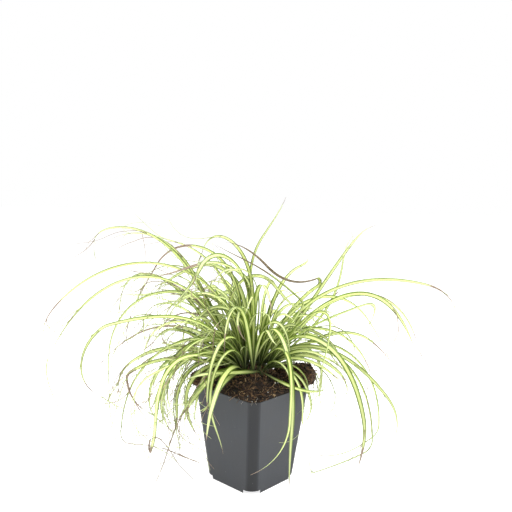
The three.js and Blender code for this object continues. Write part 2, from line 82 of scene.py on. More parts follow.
# ---- the potting mix ----
SEAT_GAP = 0.3
MIX_EDGE = 99
MOUND = 18
MOUND_REACH = 54
MOUND_FLAT_REACH = 47
MOUND_POWER = 1.2
# Clods lying on the mix: centre, then half sizes.
CLODS = [
    (53, 5, 108, 14, 15, 13),
    (36, 9, 107, 15, 15, 12),
    (-54, 3, 104, 12, 14, 8),
    (-36, 12, 107, 15, 14, 10),
    (4, 38, 104, 17, 10, 8),
]
CLOD_MOST = 1.06

# ---- the shoots ----
SHOOT_RINGS = [(1, 0, 0), (6, 8, 20), (11, 16, 8)]  # count, radius, first turn
SHOOT_RADIUS = 2.4
SHOOT_SIDES = 6
SHOOT_STAND = 5
SHOOT_DEPTH = 15.7
LEAF_SUNK = 2

# ---- the leaves ----
ROUTE_STEPS = 48
LEAF_DEPTH = 0.9
LEAF_GAP = 0.3
LEAST_DISTANCE = 1e-12
BASE_WIDTH_SHARE = 0.4
WIDENING = 2.4
TAPER_POWER = 4.5
THINNING = 2.2
CURL_FROM = 0.75
FOLD_SPAN = 0.05
FIRST_FREE_STEP = 6
LOWEST = 8
FACE_ROLL = 50

# Leaves that stand out of the tuft, each as: its shoot's place from 1 to 18, turn about the pot from +X,
# rise of the base, fall of the end, length, share of the length where the bend is halfway, sideways veer,
# curl and hook of the end, width, and for a folded leaf the share of the length at the fold and its angle.
NAMED_LEAVES = [
    (2, 5, 100, 30, 185, 0.7, -20, 40, 30, 3.8),
    (7, 335, 55, 80, 200, 0.65, 35, -5, 50, 4.3, 0.4, 80),
    (2, 30, 60, -55, 280, 0.5, 20, 50, 0, 4.3, 0.4, 180),
    (17, 225, 10, -10, 100, 0.85, -55, -25, 0, 6.2),
    (15, 245, 70, -130, 165, 0.4, -10, 30, -60, 3.5),
    (7, 290, 90, -115, 245, 0.35, -10, 25, -20, 5.3),
    (7, 300, 55, -30, 265, 0.25, -40, 30, -40, 3.5),
    (4, 350, 115, -90, 175, 0.6, -25, 75, 30, 4.8),
    (14, 230, 85, -100, 290, 0.25, -75, 15, -25, 4.8, 0.7, -95),
    (18, 320, 80, -85, 235, 0.35, -30, -50, -40, 5.8),
    (18, 5, 70, -105, 330, 0.2, 15, -50, 85, 4.5, 0.6, -70),
    (14, 190, 90, -60, 345, 0.4, -15, 0, -110, 3.5),
    (14, 210, 65, -50, 275, 0.55, 15, -15, -25, 3.3),
    (13, 180, 65, -50, 270, 0.7, -10, -10, -100, 3.8),
    (14, 220, 80, 0, 300, 0.15, 25, -160, -50, 3.8),
    (8, 10, 75, -20, 285, 0.35, -5, -45, 50, 4.3),
    (18, 350, 55, -80, 220, 0.65, 10, 10, 0, 4.5),
    (8, 15, 55, 20, 195, 0.9, -60, -5, 70, 4.3),
    (13, 170, 65, -30, 220, 0.75, -5, 10, -20, 3.0),
    (4, 150, 80, -5, 215, 0.55, 0, 20, -15, 2.8),
    (13, 165, 95, -110, 265, 0.6, 0, 75, 105, 3.8),
    (12, 210, 110, -45, 205, 0.55, -10, 45, 10, 5.0),
    (13, 180, 80, -110, 290, 0.45, -5, 25, -5, 3.0),
    (14, 190, 30, -55, 160, 0.55, -5, -55, 55, 4.3),
    (14, 250, 75, -15, 180, 0.15, -25, -30, 50, 4.3),
    (14, 205, 20, -65, 180, 0.6, -15, -30, 50, 4.3, 0.65, -60),
    (14, 230, 30, -25, 305, 0.4, 50, 50, -30, 4.0, 0.85, 190),
    (15, 220, 35, -105, 165, 0.55, -5, -25, -45, 4.3),
    (5, 205, 95, -110, 225, 0.65, 50, 85, -80, 5.8),
    (4, 145, 90, -70, 185, 0.65, 65, 50, -25, 5.3),
    (5, 225, 105, 15, 110, 0.5, -45, -10, -5, 5.0),
    (13, 180, 65, 5, 120, 0.65, -25, -30, -40, 4.3),
    (5, 205, 100, -10, 105, 0.45, -10, -10, -5, 4.3),
    (8, 20, 35, 75, 195, 0.6, 60, -60, -30, 2.8),
    (18, 315, 60, -45, 290, 0.45, -75, -155, -5, 3.0),
    (18, 320, 65, -25, 275, 0.5, -60, 10, -5, 4.8),
    (18, 305, 65, 20, 260, 0.1, -15, -60, -65, 4.3),
    (2, 35, 80, -15, 160, 0.65, 15, 25, 40, 4.3),
    (18, 330, 90, -75, 210, 0.35, 40, -90, 5, 4.5),
    (8, 10, 30, -65, 165, 0.65, 5, 20, -5, 4.3),
    (8, 20, 80, -70, 225, 0.45, 0, 10, -55, 4.3),
    (17, 310, -10, 25, 145, 0.4, -30, 20, -30, 4.0),
    (18, 340, 45, -40, 85, 0.55, 5, 30, 20, 4.3),
    (18, 330, 50, -30, 90, 0.35, 5, -15, 0, 4.3),
    (8, 350, 65, -50, 195, 0.25, -25, -60, 55, 4.3),
    (8, 5, 55, -110, 295, 0.3, 5, -55, 30, 3.3, 0.65, -50),
    (17, 305, 50, -70, 60, 0.55, 10, -20, 0, 2.8),
    (15, 240, 30, -40, 140, 0.35, 5, 0, 10, 6.0),
    (15, 225, 20, -55, 95, 0.45, -5, 10, -10, 6.2),
    (15, 235, 10, -40, 80, 0.4, 5, 15, -25, 5.2),
    (14, 220, 15, -50, 90, 0.35, 0, 0, 0, 5.8),
]
NAMED_GROWTH = {"segments": 8, "tries": 60, "margin": 1.6, "crosses_own": True, "is_parted": False}
NAMED_SEED = 77000
SEEDS_PER_LEAF = 100
NAMED_NUDGE = {"turn": 6, "rise": 5, "veer": 8, "long": 0.05}
FIRST_NUDGE = 0.25
MORE_NUDGE = 0.06
MOST_NUDGE = 1.5

# The other leaves of each shoot, drawn by seed. Where the two sides of the tuft differ, the long side
# has its own ranges.
FILL_RINGS = [(180, 45, 99, 0), (69, 59, 101, 0), (31, 2, 81, 26)]  # spread, least and most rise, lift
LONG_SIDE_TURN = 199
LONG_SIDE = {"leaves": 22, "long": (44, 244), "fall": (-132, -10)}
SHORT_SIDE = {"leaves": 14, "long": (91, 147), "fall": (-113, -35)}
FILL_BENDS = (0.3, 0.8)
FILL_WIDTHS = (3.6, 5.8)
LONG_SHARE_POWER = 1.68
MOST_VEER = 31
MOST_CURL = 56
MOST_HOOK = 45
FILL_FACE_ROLL = 25
MOST_ROLL = 35
MOST_TWIST = 50
FILL_GROWTH = {"segments": 6, "tries": 30, "margin": 2.0, "crosses_own": False, "is_parted": True}
FILL_SEED = 10000

# The last leaves of the long side hang over the pot's rim.
SIDE_LEAVES = 3
SIDE_SHARE = 0.41
SIDE_SPREAD = 38
SIDE_RISES = (36, 98)
SIDE_LENGTHS = (79, 169)
SIDE_FALLS = (-100, -56)
SIDE_GROWTH = {"segments": 5, "tries": 30, "margin": 2.0, "crosses_own": True, "is_parted": True}
SIDE_SEED = 500000

# The front of the tuft is parted, and no drawn leaf hangs in the space before the crown.
PARTING_TURN = 258
PARTING_HALF = 110
PARTING_PUSH = 29
PARTING_RISE = 28
PARTING_SHORTER = 0.5
PARTING_LIFT = 0.14
PARTING_SPACE = (36, -24, 138)  # half its width, its back and its top

# ---- what only the looks have ----
LOOKS_SEED = 5

# The blades of the leaves, and the values that their colours follow
LEAF_STEP = 4.0
LEAST_LEAF_STEPS = 24
LEAF_THICKNESS = 0.3
# The points round a blade, each as: place across it, and 0 on its upper or 1 on its lower face.
LEAF_SECTION = [(1, 0), (0.5, 0), (0, 0), (-0.5, 0), (-1, 0), (-0.55, 1), (0, 1), (0.55, 1)]
KEEL_POWER = 1.3
FORM_SHARE = 0.96
TIP_WIDTH = 0.14
TIP_DEPTH = 0.08
ALONG_SCALE = 40
# BASE_REACH is how far along a blade the painted shade of its foot reaches.
BASE_REACH = 60
PALE_FROM = 0.5

# Where leaves have dried, as shares of their length
DRY_FADE = 0.06
DRY_SHRINK = 0.35
NAMED_DRY_SHRINK = 0.05
# Dried stretches of named leaves, by row from 0: where they start and end as shares of the length.
DRIED = {
    1: (0.62, 1.0), 2: (0.42, 1.0), 8: (0.7, 1.0), 9: (0.84, 1.0), 11: (0.72, 1.0), 14: (0.9, 1.0),
    15: (0.74, 1.0), 16: (0.88, 1.0), 20: (0.55, 0.85), 21: (0.72, 1.0), 23: (0.85, 1.0), 25: (0.6, 1.0),
    26: (0.8, 1.0), 36: (0.9, 1.0), 38: (0.68, 1.0), 39: (0.75, 1.0), 45: (0.85, 1.0),
}
DRY_TIP = (0.93, 1.0)
DRY_TIP_CHANCE = 0.45
DRY_LEAF_CHANCE = 0.08
# Where a drawn leaf starts to dry: the least share, and how much more there may be.
DRY_TIP_START = (0.8, 0.17)
DRY_LEAF_START = (0.2, 0.3)
NOT_DRY = (2, 2)
# A leaf whose turn off the parting has more than this cosine is at the front, and isn't dry all along.
FRONT_LEAST = 0.3

# Withered threads, with the most on a leaf whose end reaches out to the left or to the right
THREADS_LEFT = 8
THREADS_RIGHT = 2
THREAD_REACH = 50
THREAD_CHANCE = 0.55
THREAD_FROM = 0.35
THREAD_FROM_POWER = 0.5
THREAD_LENGTHS = (20, 85)
THREAD_STEP = 2.5
THREAD_LEAST_POINTS = 4
THREAD_RADII = (0.25, 0.6)
THREAD_END = 0.4
THREAD_GREEN = 0.6
THREAD_ACROSS = 0.42
THREAD_SIDES = 3
THREAD_BEND = 0.24
THREAD_DROOP = 0.06
THREAD_WANDER = 0.07
THREAD_INSIDE = 1.0
THREAD_CLEAR = 1.0
# A direction that no thread or fibre starts out in, and the least length of a step
TUBE_SIDE = [0.31, 0.52, 0.79]
LEAST_STEP = 1e-9

# The stems, with their outlines as: height above the mix, and share of the radius
STEM_SIDES = 24
STEM_RIBS = 6
STEM_RIB = 0.14
STEM_STRIPE = 0.5
STEM_HEIGHTS = [(-15.7, 0.9), (-2, 1.0), (1, 1.0), (3.6, 0.92), (4.6, 0.7), (5, 0.35)]

# The surface of the mix. A tone has a middle, a swing and a size of its patches.
MIX_RINGS = 44
MIX_FLAT_STEPS = 26
MIX_SEED = 900
UNEVENNESS = (0.9, 2.1, 4)  # power, gain and octaves
GROUND_LUMPS = 0.9
GROUND_LUMP_SIZE = 7
GROUND_GRAIN = 0.5
GROUND_GRAIN_SIZE = 1.8
GROUND_GRAIN_SHIFT = 9
GROUND_EDGE_SLOPE = 8
MIX_EDGE_FLAT = 43
MIX_EDGE_CORNER = 54
HEAP_TONE = (0.3, 0.25, 3)
CLOD_SUBDIVISIONS = 5
CLOD_ROUGHNESS = 0.09
CLOD_ROUGH_SCALE = 9
CLOD_ROUGH_SHIFT = 7
CLOD_ROUGH_SIZE = 4
CLOD_TONE = (0.5, 0.35, 2.5)

# What lies on the mix
SPOT_REACH = 1.3
CLOD_CRUMB_SHARE = 0.35
CLOD_SPOT_DOWN = 0.35
CRUMB_COUNT = 2400
CRUMB_SIZES = (0.4, 2.2)
CRUMB_SIZE_POWER = 3
CRUMB_SPIN = 6.3
CRUMB_STRETCH = (0.6, 1.5)
CRUMB_DENTS = (0.7, 1.2)
CRUMB_TONE_POWER = 1.5
CRUMB_CORNERS = [(1, 0, 0), (-1, 0, 0), (0, 1, 0), (0, -1, 0), (0, 0, 1), (0, 0, -1)]
CRUMB_FACES = [(0, 2, 4), (2, 1, 4), (1, 3, 4), (3, 0, 4), (2, 0, 5), (1, 2, 5), (3, 1, 5), (0, 3, 5)]
FIBRE_COUNT = 1900
FIBRE_SIDES = 3
FIBRE_LIFT = (-0.2, 0.5)
FIBRE_TONES = (0.35, 1)
FIBRE_LENGTH_POWER = 2
FIBRE_LENGTHS = (3, 15)
FIBRE_RADII = (0.12, 0.36)
FIBRE_STEPS = 6
FIBRE_BEND = 0.5
ROOT_COUNT = 10
ROOT_SPREAD = 26
ROOT_INSIDE = 1.5
ROOT_BELOW = 0.4
ROOT_SWING = 0.9
ROOT_RISE = 0.6
ROOT_LENGTHS = (3, 8)
ROOT_RADIUS = 0.08
ROOT_PALE = 0.4
PERLITE_SUBDIVISIONS = 2
PERLITE_STAND = 0.4
PERLITE_DENTS = (0.75, 1.15)
# Perlite grains: place and size.
PERLITE = [(22, -22, 1.1), (25, -20, 0.8), (-2, -54, 0.5), (2, -53, 0.4), (9, -53, 0.5), (14, -40, 0.5),
           (-18, -38, 0.5), (30, -14, 0.6), (-6, -46, 0.4), (12, 46, 0.8)]

# The pot's fine form
CORNER_FROM = 38
SHARP_ANGLE = 12
RIM_ROUND_STEPS = 4

# Colours of the leaves. A ramp is where it starts and ends, and its values there where not 0 and 1. A
# bump is its strength, and its depth in metres.
CREAM = ("c6d27c", "d6e096", "abc05a")
GREEN = ("627c12", "7f9c28", "43590a")
# Painted shade: the blades darken towards their foot, where the crown of leaves shades them.
FOOT_PAINTED_SHADE = "232f0a"
PALE_END = "e6eac6"
PALE_SHARE = 0.22
DRY = ("86705a", "b0a08c", "5a4c40")
NOISE_DETAIL = 3.0
TONE_SPREAD = 40.0
VEINS_ACROSS = 7.0
VEINS_ALONG = 2.0
PATCHES_ALONG = 6.0
STRIPE_LEAST = 0.4
STRIPE_SWING = 0.2
STRIPE_WAVER = 0.3
STRIPE_INNER = 0.1
STRIPE_OUTER = 0.12
GREEN_VEINS = (0.35, 0.7)
CREAM_VEINS = (0.5, 0.8, 0.0, 0.5)
FOOT_SHADE_FADE = (0.02, 0.75, 0.12, 1.0)
DRY_PATCHES = (0.3, 0.7)
DRY_VEINS = (0.4, 0.7)
DRY_WAVER = 0.8
DRY_EDGE = (0.35, 0.6)
LEAF_BUMP = (0.35, 0.0003)
LEAF_ROUGHNESS = (0.0, 1.0, 0.42, 0.8)

# Colours of the mix. From here on a texture's scale is in patches per metre.
PEAT = ("0e0905", "2f1f13", "6b4e33", "b09872")
PEAT_RAMPS = ((0.1, 0.45), (0.45, 0.8), (0.8, 1.1))
PERLITE_COLOUR = "e8e6e0"
GRAIN_SCALE = 900.0
GRAIN_SWING = 0.5
LUMP_SCALE = 160.0
LUMP_SWING = 0.4
MIX_BUMP = (0.8, 0.0006)
MIX_ROUGHNESS = 0.95

# Colours of the pot. The last is painted shade: it darkens the corner strips as if they caught less light
# than the walls.
POT = ("303236", "34373c", "404348", "1b1c1f")
DUST = "9a9a98"
STREAKS_ACROSS = 260.0
STREAKS_ALONG = 14.0
STREAK_RAMP = (0.5, 0.85, 0.0, 0.35)
CLOUD_SCALE = 28.0
CLOUD_RAMP = (0.3, 0.7)
SPECK_SCALE = 700.0
SPECK_DETAIL = 2.0
SPECK_RAMP = (0.74, 0.8, 0.0, 0.5)
STRIP_PAINTED_SHADE = 0.85
STRIP_CORE = 0.28
STRIP_REACH = 0.56
POT_BUMP = (0.15, 0.0001)
POT_ROUGHNESS = (0.3, 1.0, 0.38, 0.52)
STREAK_ROUGHNESS = 0.4
POT_SPECULAR = 0.35

# Floor, light and camera
FLOOR_REACH = 6000
FLOOR_TINTS = ("c8c8c8", "cccccc")
FLOOR_TINT_SCALE = 3.0
FLOOR_ROUGHNESS = 0.9
FLOOR_GLOW = 0.8
WORLD_LIGHT = 0.5
WHITE = (1, 1, 1, 1)
# Lamps: name, place, what they are aimed at, size and watts.
LAMPS = [
    ("key", (-1200, -60, 900), (0, 0, 120), 900, 15),
    ("fill", (1200, -120, 800), (0, 0, 100), 900, 15),
    ("top", (0, 100, 1500), (0, 0, 100), 1000, 26),
]
CAMERA_PLACE = (1, -650, 310)
CAMERA_PITCH = 6.6
CAMERA_ROLL = 1.2
CAMERA_YAW = 2.3
FOCAL_PIXELS = 640
IMAGE_PIXELS = 512
SENSOR = 36


def mix(low, high, share):
    return low + (high - low) * share


def clamp(value):
    return np.clip(value, 0.0, 1.0)


def smooth(value):
    return value * value * (3 - 2 * value)


def random_source(seed):
    """Seeded numbers from 0 to 1 (the mulberry32 generator)."""
    state = seed & WORD

    def draw():
        nonlocal state
        state = (state + 0x6D2B79F5) & WORD
        mixed = ((state ^ (state >> 15)) * (state | 1)) & WORD
        mixed = ((mixed + (((mixed ^ (mixed >> 7)) * (mixed | 61)) & WORD)) & WORD) ^ mixed
        return ((mixed ^ (mixed >> 14)) & WORD) / 2**32

    return draw


# ---- pot and mix, as heights and clearances ----


def pot_half(z):
    """Half the side of the pot's outer square at a height."""
    return (BASE_SIDE + (RIM_SIDE - BASE_SIDE) * z / POT_HEIGHT) / 2


def chord_out(half):
    """How far the chord of a corner strip lies from the pot's axis."""
    return half * sqrt(2) - CORNER_WIDTH / 2


def towards_flat(x, y):
    """How far a point lies from the pot's axis towards its nearest flat side."""
    return np.maximum(np.abs(x + y), np.abs(y - x)) * sqrt(0.5)


def mix_height(x, y):
    """The top of the mound of mix, without its lumps."""
    out = np.maximum(np.hypot(x, y) / MOUND_REACH, towards_flat(x, y) / MOUND_FLAT_REACH)
    return MIX_EDGE + MOUND * clamp(1 - out * out) ** MOUND_POWER


def clearance(points):
    """How far each point is clear of the pot and the mix; negative inside them."""
    x, y, z = points.T
    half = pot_half(clamp(z / POT_HEIGHT) * POT_HEIGHT)
    past_flat = towards_flat(x, y) - half
    past_corner = np.maximum(np.abs(x), np.abs(y)) - chord_out(half) - CORNER_BULGE
    above = z - np.maximum(POT_HEIGHT, mix_height(x, y))
    room = np.maximum(np.maximum(past_flat, past_corner), above)
    for cx, cy, cz, wide, deep, high in CLODS:
        out = np.sqrt(((x - cx) / wide) ** 2 + ((y - cy) / deep) ** 2 + ((z - cz) / high) ** 2)
        room = np.minimum(room, (out - CLOD_MOST) * min(wide, deep, high))
    return room


# ---- how the leaves grow ----


def leaf_route(shoot, leaf, steps=ROUTE_STEPS):
    """The middle line of a leaf, from inside its shoot to its tip."""
    share = (np.arange(steps) + 0.5) / steps
    bent = smooth(share ** (log(0.5) / log(leaf["bend"])))
    end = clamp((share - CURL_FROM) / (1 - CURL_FROM))
    folded = leaf["fold"] * clamp((share - leaf["fold_at"]) / FOLD_SPAN)
    pitch = np.radians(mix(leaf["rise"], leaf["fall"], bent) + leaf["curl"] * end + folded)
    heading = np.radians(leaf["turn"] + leaf["veer"] * bent + leaf["hook"] * end)
    level = np.cos(pitch)
    moves = np.stack([level * np.cos(heading), level * np.sin(heading), np.sin(pitch)], 1)
    start = np.array([[shoot["x"], shoot["y"], shoot["ground"] + SHOOT_STAND - LEAF_SUNK]])
    return np.concatenate([start, start + np.cumsum(moves * leaf["long"] / steps, 0)])


def leaf_faces(route, leaf):
    """The sideways and upward directions of the leaf's face at every point of its route."""
    along = np.gradient(route, axis=0)
    along /= np.linalg.norm(along, axis=1)[:, None]
    heading = radians(leaf["turn"])
    side = np.array([-sin(heading), cos(heading), 0.0])
    sides = np.empty_like(route)
    for i, way in enumerate(along):
        side = side - way * side.dot(way)
        side = side / sqrt(side.dot(side))
        sides[i] = side
    roll = np.radians(leaf["roll"] + leaf["twist"] * np.linspace(0, 1, len(route)))[:, None]
    sides = sides * np.cos(roll) + np.cross(along, sides) * np.sin(roll)
    return sides, np.cross(along, sides)


def leaf_shape(leaf, share):
    """Half the width and half the depth of the blade at shares of its length."""
    shape = np.minimum(1, BASE_WIDTH_SHARE + WIDENING * share) * (1 - share**TAPER_POWER)
    return leaf["wide"] * shape / 2, LEAF_DEPTH * np.minimum(1, THINNING * (1 - share)) / 2


def leaf_pieces(route, leaf, segments):
    """The leaf as straight pieces: their starts, ways and the reach of both end sections."""
    sides, ups = leaf_faces(route, leaf)
    at = np.arange(segments + 1) * ROUTE_STEPS // segments
    half, thick = (value[:, None] for value in leaf_shape(leaf, at / ROUTE_STEPS))
    across, up = sides[at] * half, ups[at] * thick
    offsets = np.stack([up + across, up - across, -up], 1)
    return route[at[:-1]], np.diff(route[at], axis=0), np.concatenate([offsets[:-1], offsets[1:]], 1)


def middles(pieces):
    """The middle of each piece, and how far the piece reaches from it."""
    start, along, offsets = pieces
    reach = np.linalg.norm(along, axis=1) / 2 + np.linalg.norm(offsets, axis=2).max(1)
    return start + along / 2, reach


def near(pieces, others):
    """Those of the others that could touch any of the pieces."""
    if not len(others[0]):
        return others
    middle, reach = middles(pieces)
    other_middle, other_reach = middles(others)
    apart = np.linalg.norm(middle[:, None] - other_middle[None], axis=2)
    is_near = (apart < reach[:, None] + other_reach[None] + 2 * LEAF_GAP).any(0)
    return tuple(part[is_near] for part in others)


def least_room(pieces, others):
    """The least room between any piece and any other, along the shortest step between the two."""
    start, along, offsets = pieces
    other_start, other_along, other_offsets = near(pieces, others)
    if not len(other_start):
        return inf
    apart = start[:, None] - other_start[None]
    aa = (along * along).sum(1)[:, None]
    bb = (other_along * other_along).sum(1)[None]
    ab = along @ other_along.T
    a_apart = np.einsum("nc,nmc->nm", along, apart)
    b_apart = np.einsum("mc,nmc->nm", other_along, apart)
    skew = aa * bb - ab * ab
    is_skew = skew > sys.float_info.epsilon
    on_a = np.where(is_skew, clamp((ab * b_apart - a_apart * bb) / np.where(is_skew, skew, 1)), 0)
    on_b = (ab * on_a + b_apart) / bb
    on_a = np.where(on_b < 0, clamp(-a_apart / aa), np.where(on_b > 1, clamp((ab - a_apart) / aa), on_a))
    step = other_along[None] * clamp(on_b)[..., None] - along[:, None] * on_a[..., None] - apart
    distance = np.linalg.norm(step, axis=2)
    step /= np.maximum(distance, LEAST_DISTANCE)[..., None]
    reach = np.einsum("nkc,nmc->nmk", offsets, step).max(2)
    other_reach = np.einsum("mkc,nmc->nmk", -other_offsets, step).max(2)
    return (distance - reach - other_reach).min()


def make_shoots():
    """The places of the shoots, each with its bare stem as its first piece."""
    shoots = []
    hexagon = np.radians(np.arange(SHOOT_SIDES) * 360 / SHOOT_SIDES)
    offsets = SHOOT_RADIUS * np.stack([np.cos(hexagon), np.sin(hexagon), 0 * hexagon], 1)
    for ring, (count, radius, first_turn) in enumerate(SHOOT_RINGS):
        for i in range(count):
            turn = first_turn + 360 * i / count
            x, y = radius * cos(radians(turn)), radius * sin(radians(turn))
            ground = float(mix_height(x, y))
            stem = [[x, y, ground - SHOOT_DEPTH]], [[0, 0, SHOOT_DEPTH + SHOOT_STAND]], [offsets]
            pieces = [tuple(np.array(part, float) for part in stem)]
            shoots.append({"ring": ring, "turn": turn, "x": x, "y": y, "ground": ground,
                           "pieces": pieces, "leaves": []})
    return shoots


def join(pieces):
    """Several leaves' pieces as one."""
    if not pieces:
        return np.empty((0, 3)), np.empty((0, 3)), np.empty((0, 6, 3))
    return tuple(np.concatenate(parts) for parts in zip(*pieces))


def is_in_parting(points):
    """Which points lie in the space before the crown."""
    side, back, top = PARTING_SPACE
    x, y, z = points.T
    return (np.abs(x) < side) & (y < back) & (z < top)


def grow_leaf(shoots, shoot, growth, draw):
    """Gives the shoot the first leaf, of those that draw(attempt) proposes, that has room."""
    others = join([piece for other in shoots if other is not shoot for piece in other["pieces"]])
    own = join([] if growth["crosses_own"] else shoot["pieces"][1:])
    for attempt in range(growth["tries"]):
        leaf = draw(attempt)
        route = leaf_route(shoot, leaf)
        free = route[FIRST_FREE_STEP:]
        if free[:, 2].min() <= LOWEST or clearance(free).min() <= growth["margin"]:
            continue
        if growth["is_parted"] and is_in_parting(free).any():
            continue
        pieces = leaf_pieces(route, leaf, growth["segments"])
        beyond = tuple(part[1:] for part in pieces)
        if least_room(pieces, others) > LEAF_GAP and least_room(beyond, own) > LEAF_GAP:
            shoot["pieces"].append(pieces)
            shoot["leaves"].append(leaf)
            return


def named_leaf(row, number, attempt):
    """A named leaf, nudged a little more with each attempt."""
    _, turn, rise, fall, long, bend, veer, curl, hook, wide, fold_at, fold = (*row, 1, 0)[:12]
    draw = random_source(NAMED_SEED + SEEDS_PER_LEAF * number + attempt)
    nudge = 0 if attempt == 0 else min(MOST_NUDGE, FIRST_NUDGE + MORE_NUDGE * attempt)
    swings = {name: most * nudge * (2 * draw() - 1) for name, most in NAMED_NUDGE.items()}
    return {
        "turn": turn + swings["turn"], "rise": rise + swings["rise"], "veer": veer + swings["veer"],
        "long": long * (1 + swings["long"]), "roll": FACE_ROLL * cos(radians(turn)), "twist": 0,
        "fall": fall, "bend": bend, "curl": curl, "hook": hook, "wide": wide,
        "fold_at": fold_at, "fold": fold, "dried": DRIED.get(number, DRY_TIP),
    }


def long_share(turn):
    """How much a turn belongs to the long side of the tuft, from 0 to 1."""
    return (1 + cos(radians(turn - LONG_SIDE_TURN))) / 2


def fill_leaf(shoot, draw):
    """A leaf drawn by seed, long and drooping on the long side and turned away from the parting."""
    spread, least_rise, most_rise, lift = FILL_RINGS[shoot["ring"]]

    def swing():
        return 2 * draw() - 1

    def sided(what, share):
        return mix(mix(*SHORT_SIDE[what], share), mix(*LONG_SIDE[what], share), side)

    aimed = shoot["turn"] + spread * swing()
    off_parting = (aimed - PARTING_TURN + 180) % 360 - 180
    parted = max(0.0, 1 - abs(off_parting) / PARTING_HALF)
    turn = aimed + PARTING_PUSH * parted * copysign(1, off_parting)
    side = long_share(turn)
    rise = mix(least_rise + lift * (1 - side), most_rise, draw())
    long = sided("long", draw() ** LONG_SHARE_POWER)
    fall = sided("fall", draw())
    leaf = {
        "turn": turn, "rise": max(rise, PARTING_RISE) if parted > 0 else rise,
        "long": long * (1 - PARTING_SHORTER * parted), "fall": fall * (1 - PARTING_LIFT * parted),
        "bend": mix(*FILL_BENDS, draw()), "veer": MOST_VEER * swing(), "curl": MOST_CURL * swing(),
        "hook": MOST_HOOK * swing(), "wide": mix(*FILL_WIDTHS, draw()),
        "fold_at": 1, "fold": 0, "dried": None,
    }
    leaf["roll"] = FILL_FACE_ROLL * cos(radians(turn)) + MOST_ROLL * swing()
    leaf["twist"] = MOST_TWIST * swing()
    return leaf


def side_leaf(shoot, draw):
    """One of the last leaves of the long side, which hang over the pot's rim."""
    leaf = fill_leaf(shoot, draw)
    leaf["turn"] = shoot["turn"] + SIDE_SPREAD * (2 * draw() - 1)
    leaf["rise"] = mix(*SIDE_RISES, draw())
    leaf["long"] = mix(*SIDE_LENGTHS, draw())
    leaf["fall"] = mix(*SIDE_FALLS, draw())
    return leaf


def grow_rounds(shoots, wanted, growth, first_seed, draw_leaf):
    """Gives the shoots drawn leaves in turn, until each has had as many turns as it wants."""
    for turn_taken in range(max(wanted)):
        for number, shoot in enumerate(shoots):
            if turn_taken < wanted[number]:
                seed = first_seed + FILL_SEED * (number + 1) + SEEDS_PER_LEAF * turn_taken
                grow_leaf(shoots, shoot, growth,
                          lambda attempt: draw_leaf(shoot, random_source(seed + attempt)))


def grow_tuft(shoots):
    """Grows the named leaves, then the drawn ones, then the last of the long side."""
    for number, row in enumerate(NAMED_LEAVES):
        grow_leaf(shoots, shoots[row[0] - 1], NAMED_GROWTH, lambda attempt: named_leaf(row, number, attempt))
    shares = [long_share(shoot["turn"]) for shoot in shoots]
    fills = [int(mix(SHORT_SIDE["leaves"], LONG_SIDE["leaves"], share) + 0.5) for share in shares]
    grow_rounds(shoots, fills, FILL_GROWTH, 0, fill_leaf)
    lasts = [SIDE_LEAVES if share > SIDE_SHARE else 0 for share in shares]
    grow_rounds(shoots, lasts, SIDE_GROWTH, SIDE_SEED, side_leaf)


# ---- meshes ----


class Shape:
    """Points, faces and values of the points, gathered for one piece."""

    def __init__(self):
        self.points, self.faces, self.values, self.count = [], [], {}, 0

    def add(self, points, faces, **values):
        self.points.append(np.asarray(points, float))
        self.faces.extend([tuple(i + self.count for i in face) for face in faces])
        for name, value in values.items():
            self.values.setdefault(name, []).append(np.broadcast_to(value, len(points)))
        self.count += len(points)


def loft_faces(rows, count):
    """Quads through rings of points, with the first and the last ring closed."""
    low = np.arange(rows - 1)[:, None] * count
    here = np.arange(count)
    after = (here + 1) % count
    quads = np.stack([low + here, low + after, low + count + after, low + count + here], 2)
    ends = [tuple(reversed(range(count))), tuple(range((rows - 1) * count, rows * count))]
    return quads.reshape(-1, 4).tolist() + ends


def make_mesh(name, shape, smooth=True):
    """A mesh in metres, with the shape's values as attributes of its points."""
    mesh = bpy.data.meshes.new(name)
    mesh.from_pydata((np.concatenate(shape.points) * MM).tolist(), [], shape.faces)
    for value_name, parts in shape.values.items():
        attribute = mesh.attributes.new(value_name, "FLOAT", "POINT")
        attribute.data.foreach_set("value", np.concatenate(parts).astype(np.float32))
    mesh.polygons.foreach_set("use_smooth", [smooth] * len(mesh.polygons))
    return mesh


def show(name, mesh):
    piece = bpy.data.objects.new(name, mesh)
    bpy.context.scene.collection.objects.link(piece)
    return piece


def place(piece, material, node, slot):
    """Gives a piece its material, and puts it in the place of a node of the frame."""
    piece.data.materials.clear()
    piece.data.materials.append(material)
    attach(piece, "root")
    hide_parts(node)


def tube(route, radius, sides):
    """Rings of points round a route."""
    along = np.gradient(route, axis=0)
    along /= np.maximum(np.linalg.norm(along, axis=1), LEAST_STEP)[:, None]
    side = np.cross(along[0], TUBE_SIDE)
    rings = []
    for way, middle, wide in zip(along, route, np.broadcast_to(radius, len(route))):
        side = side - way * side.dot(way)
        side = side / np.linalg.norm(side)
        up = np.cross(way, side)
        turns = 2 * pi * np.arange(sides)[:, None] / sides
        rings.append(middle + wide * (side * np.cos(turns) + up * np.sin(turns)))
    return np.concatenate(rings)


# ---- the leaves' fine form ----


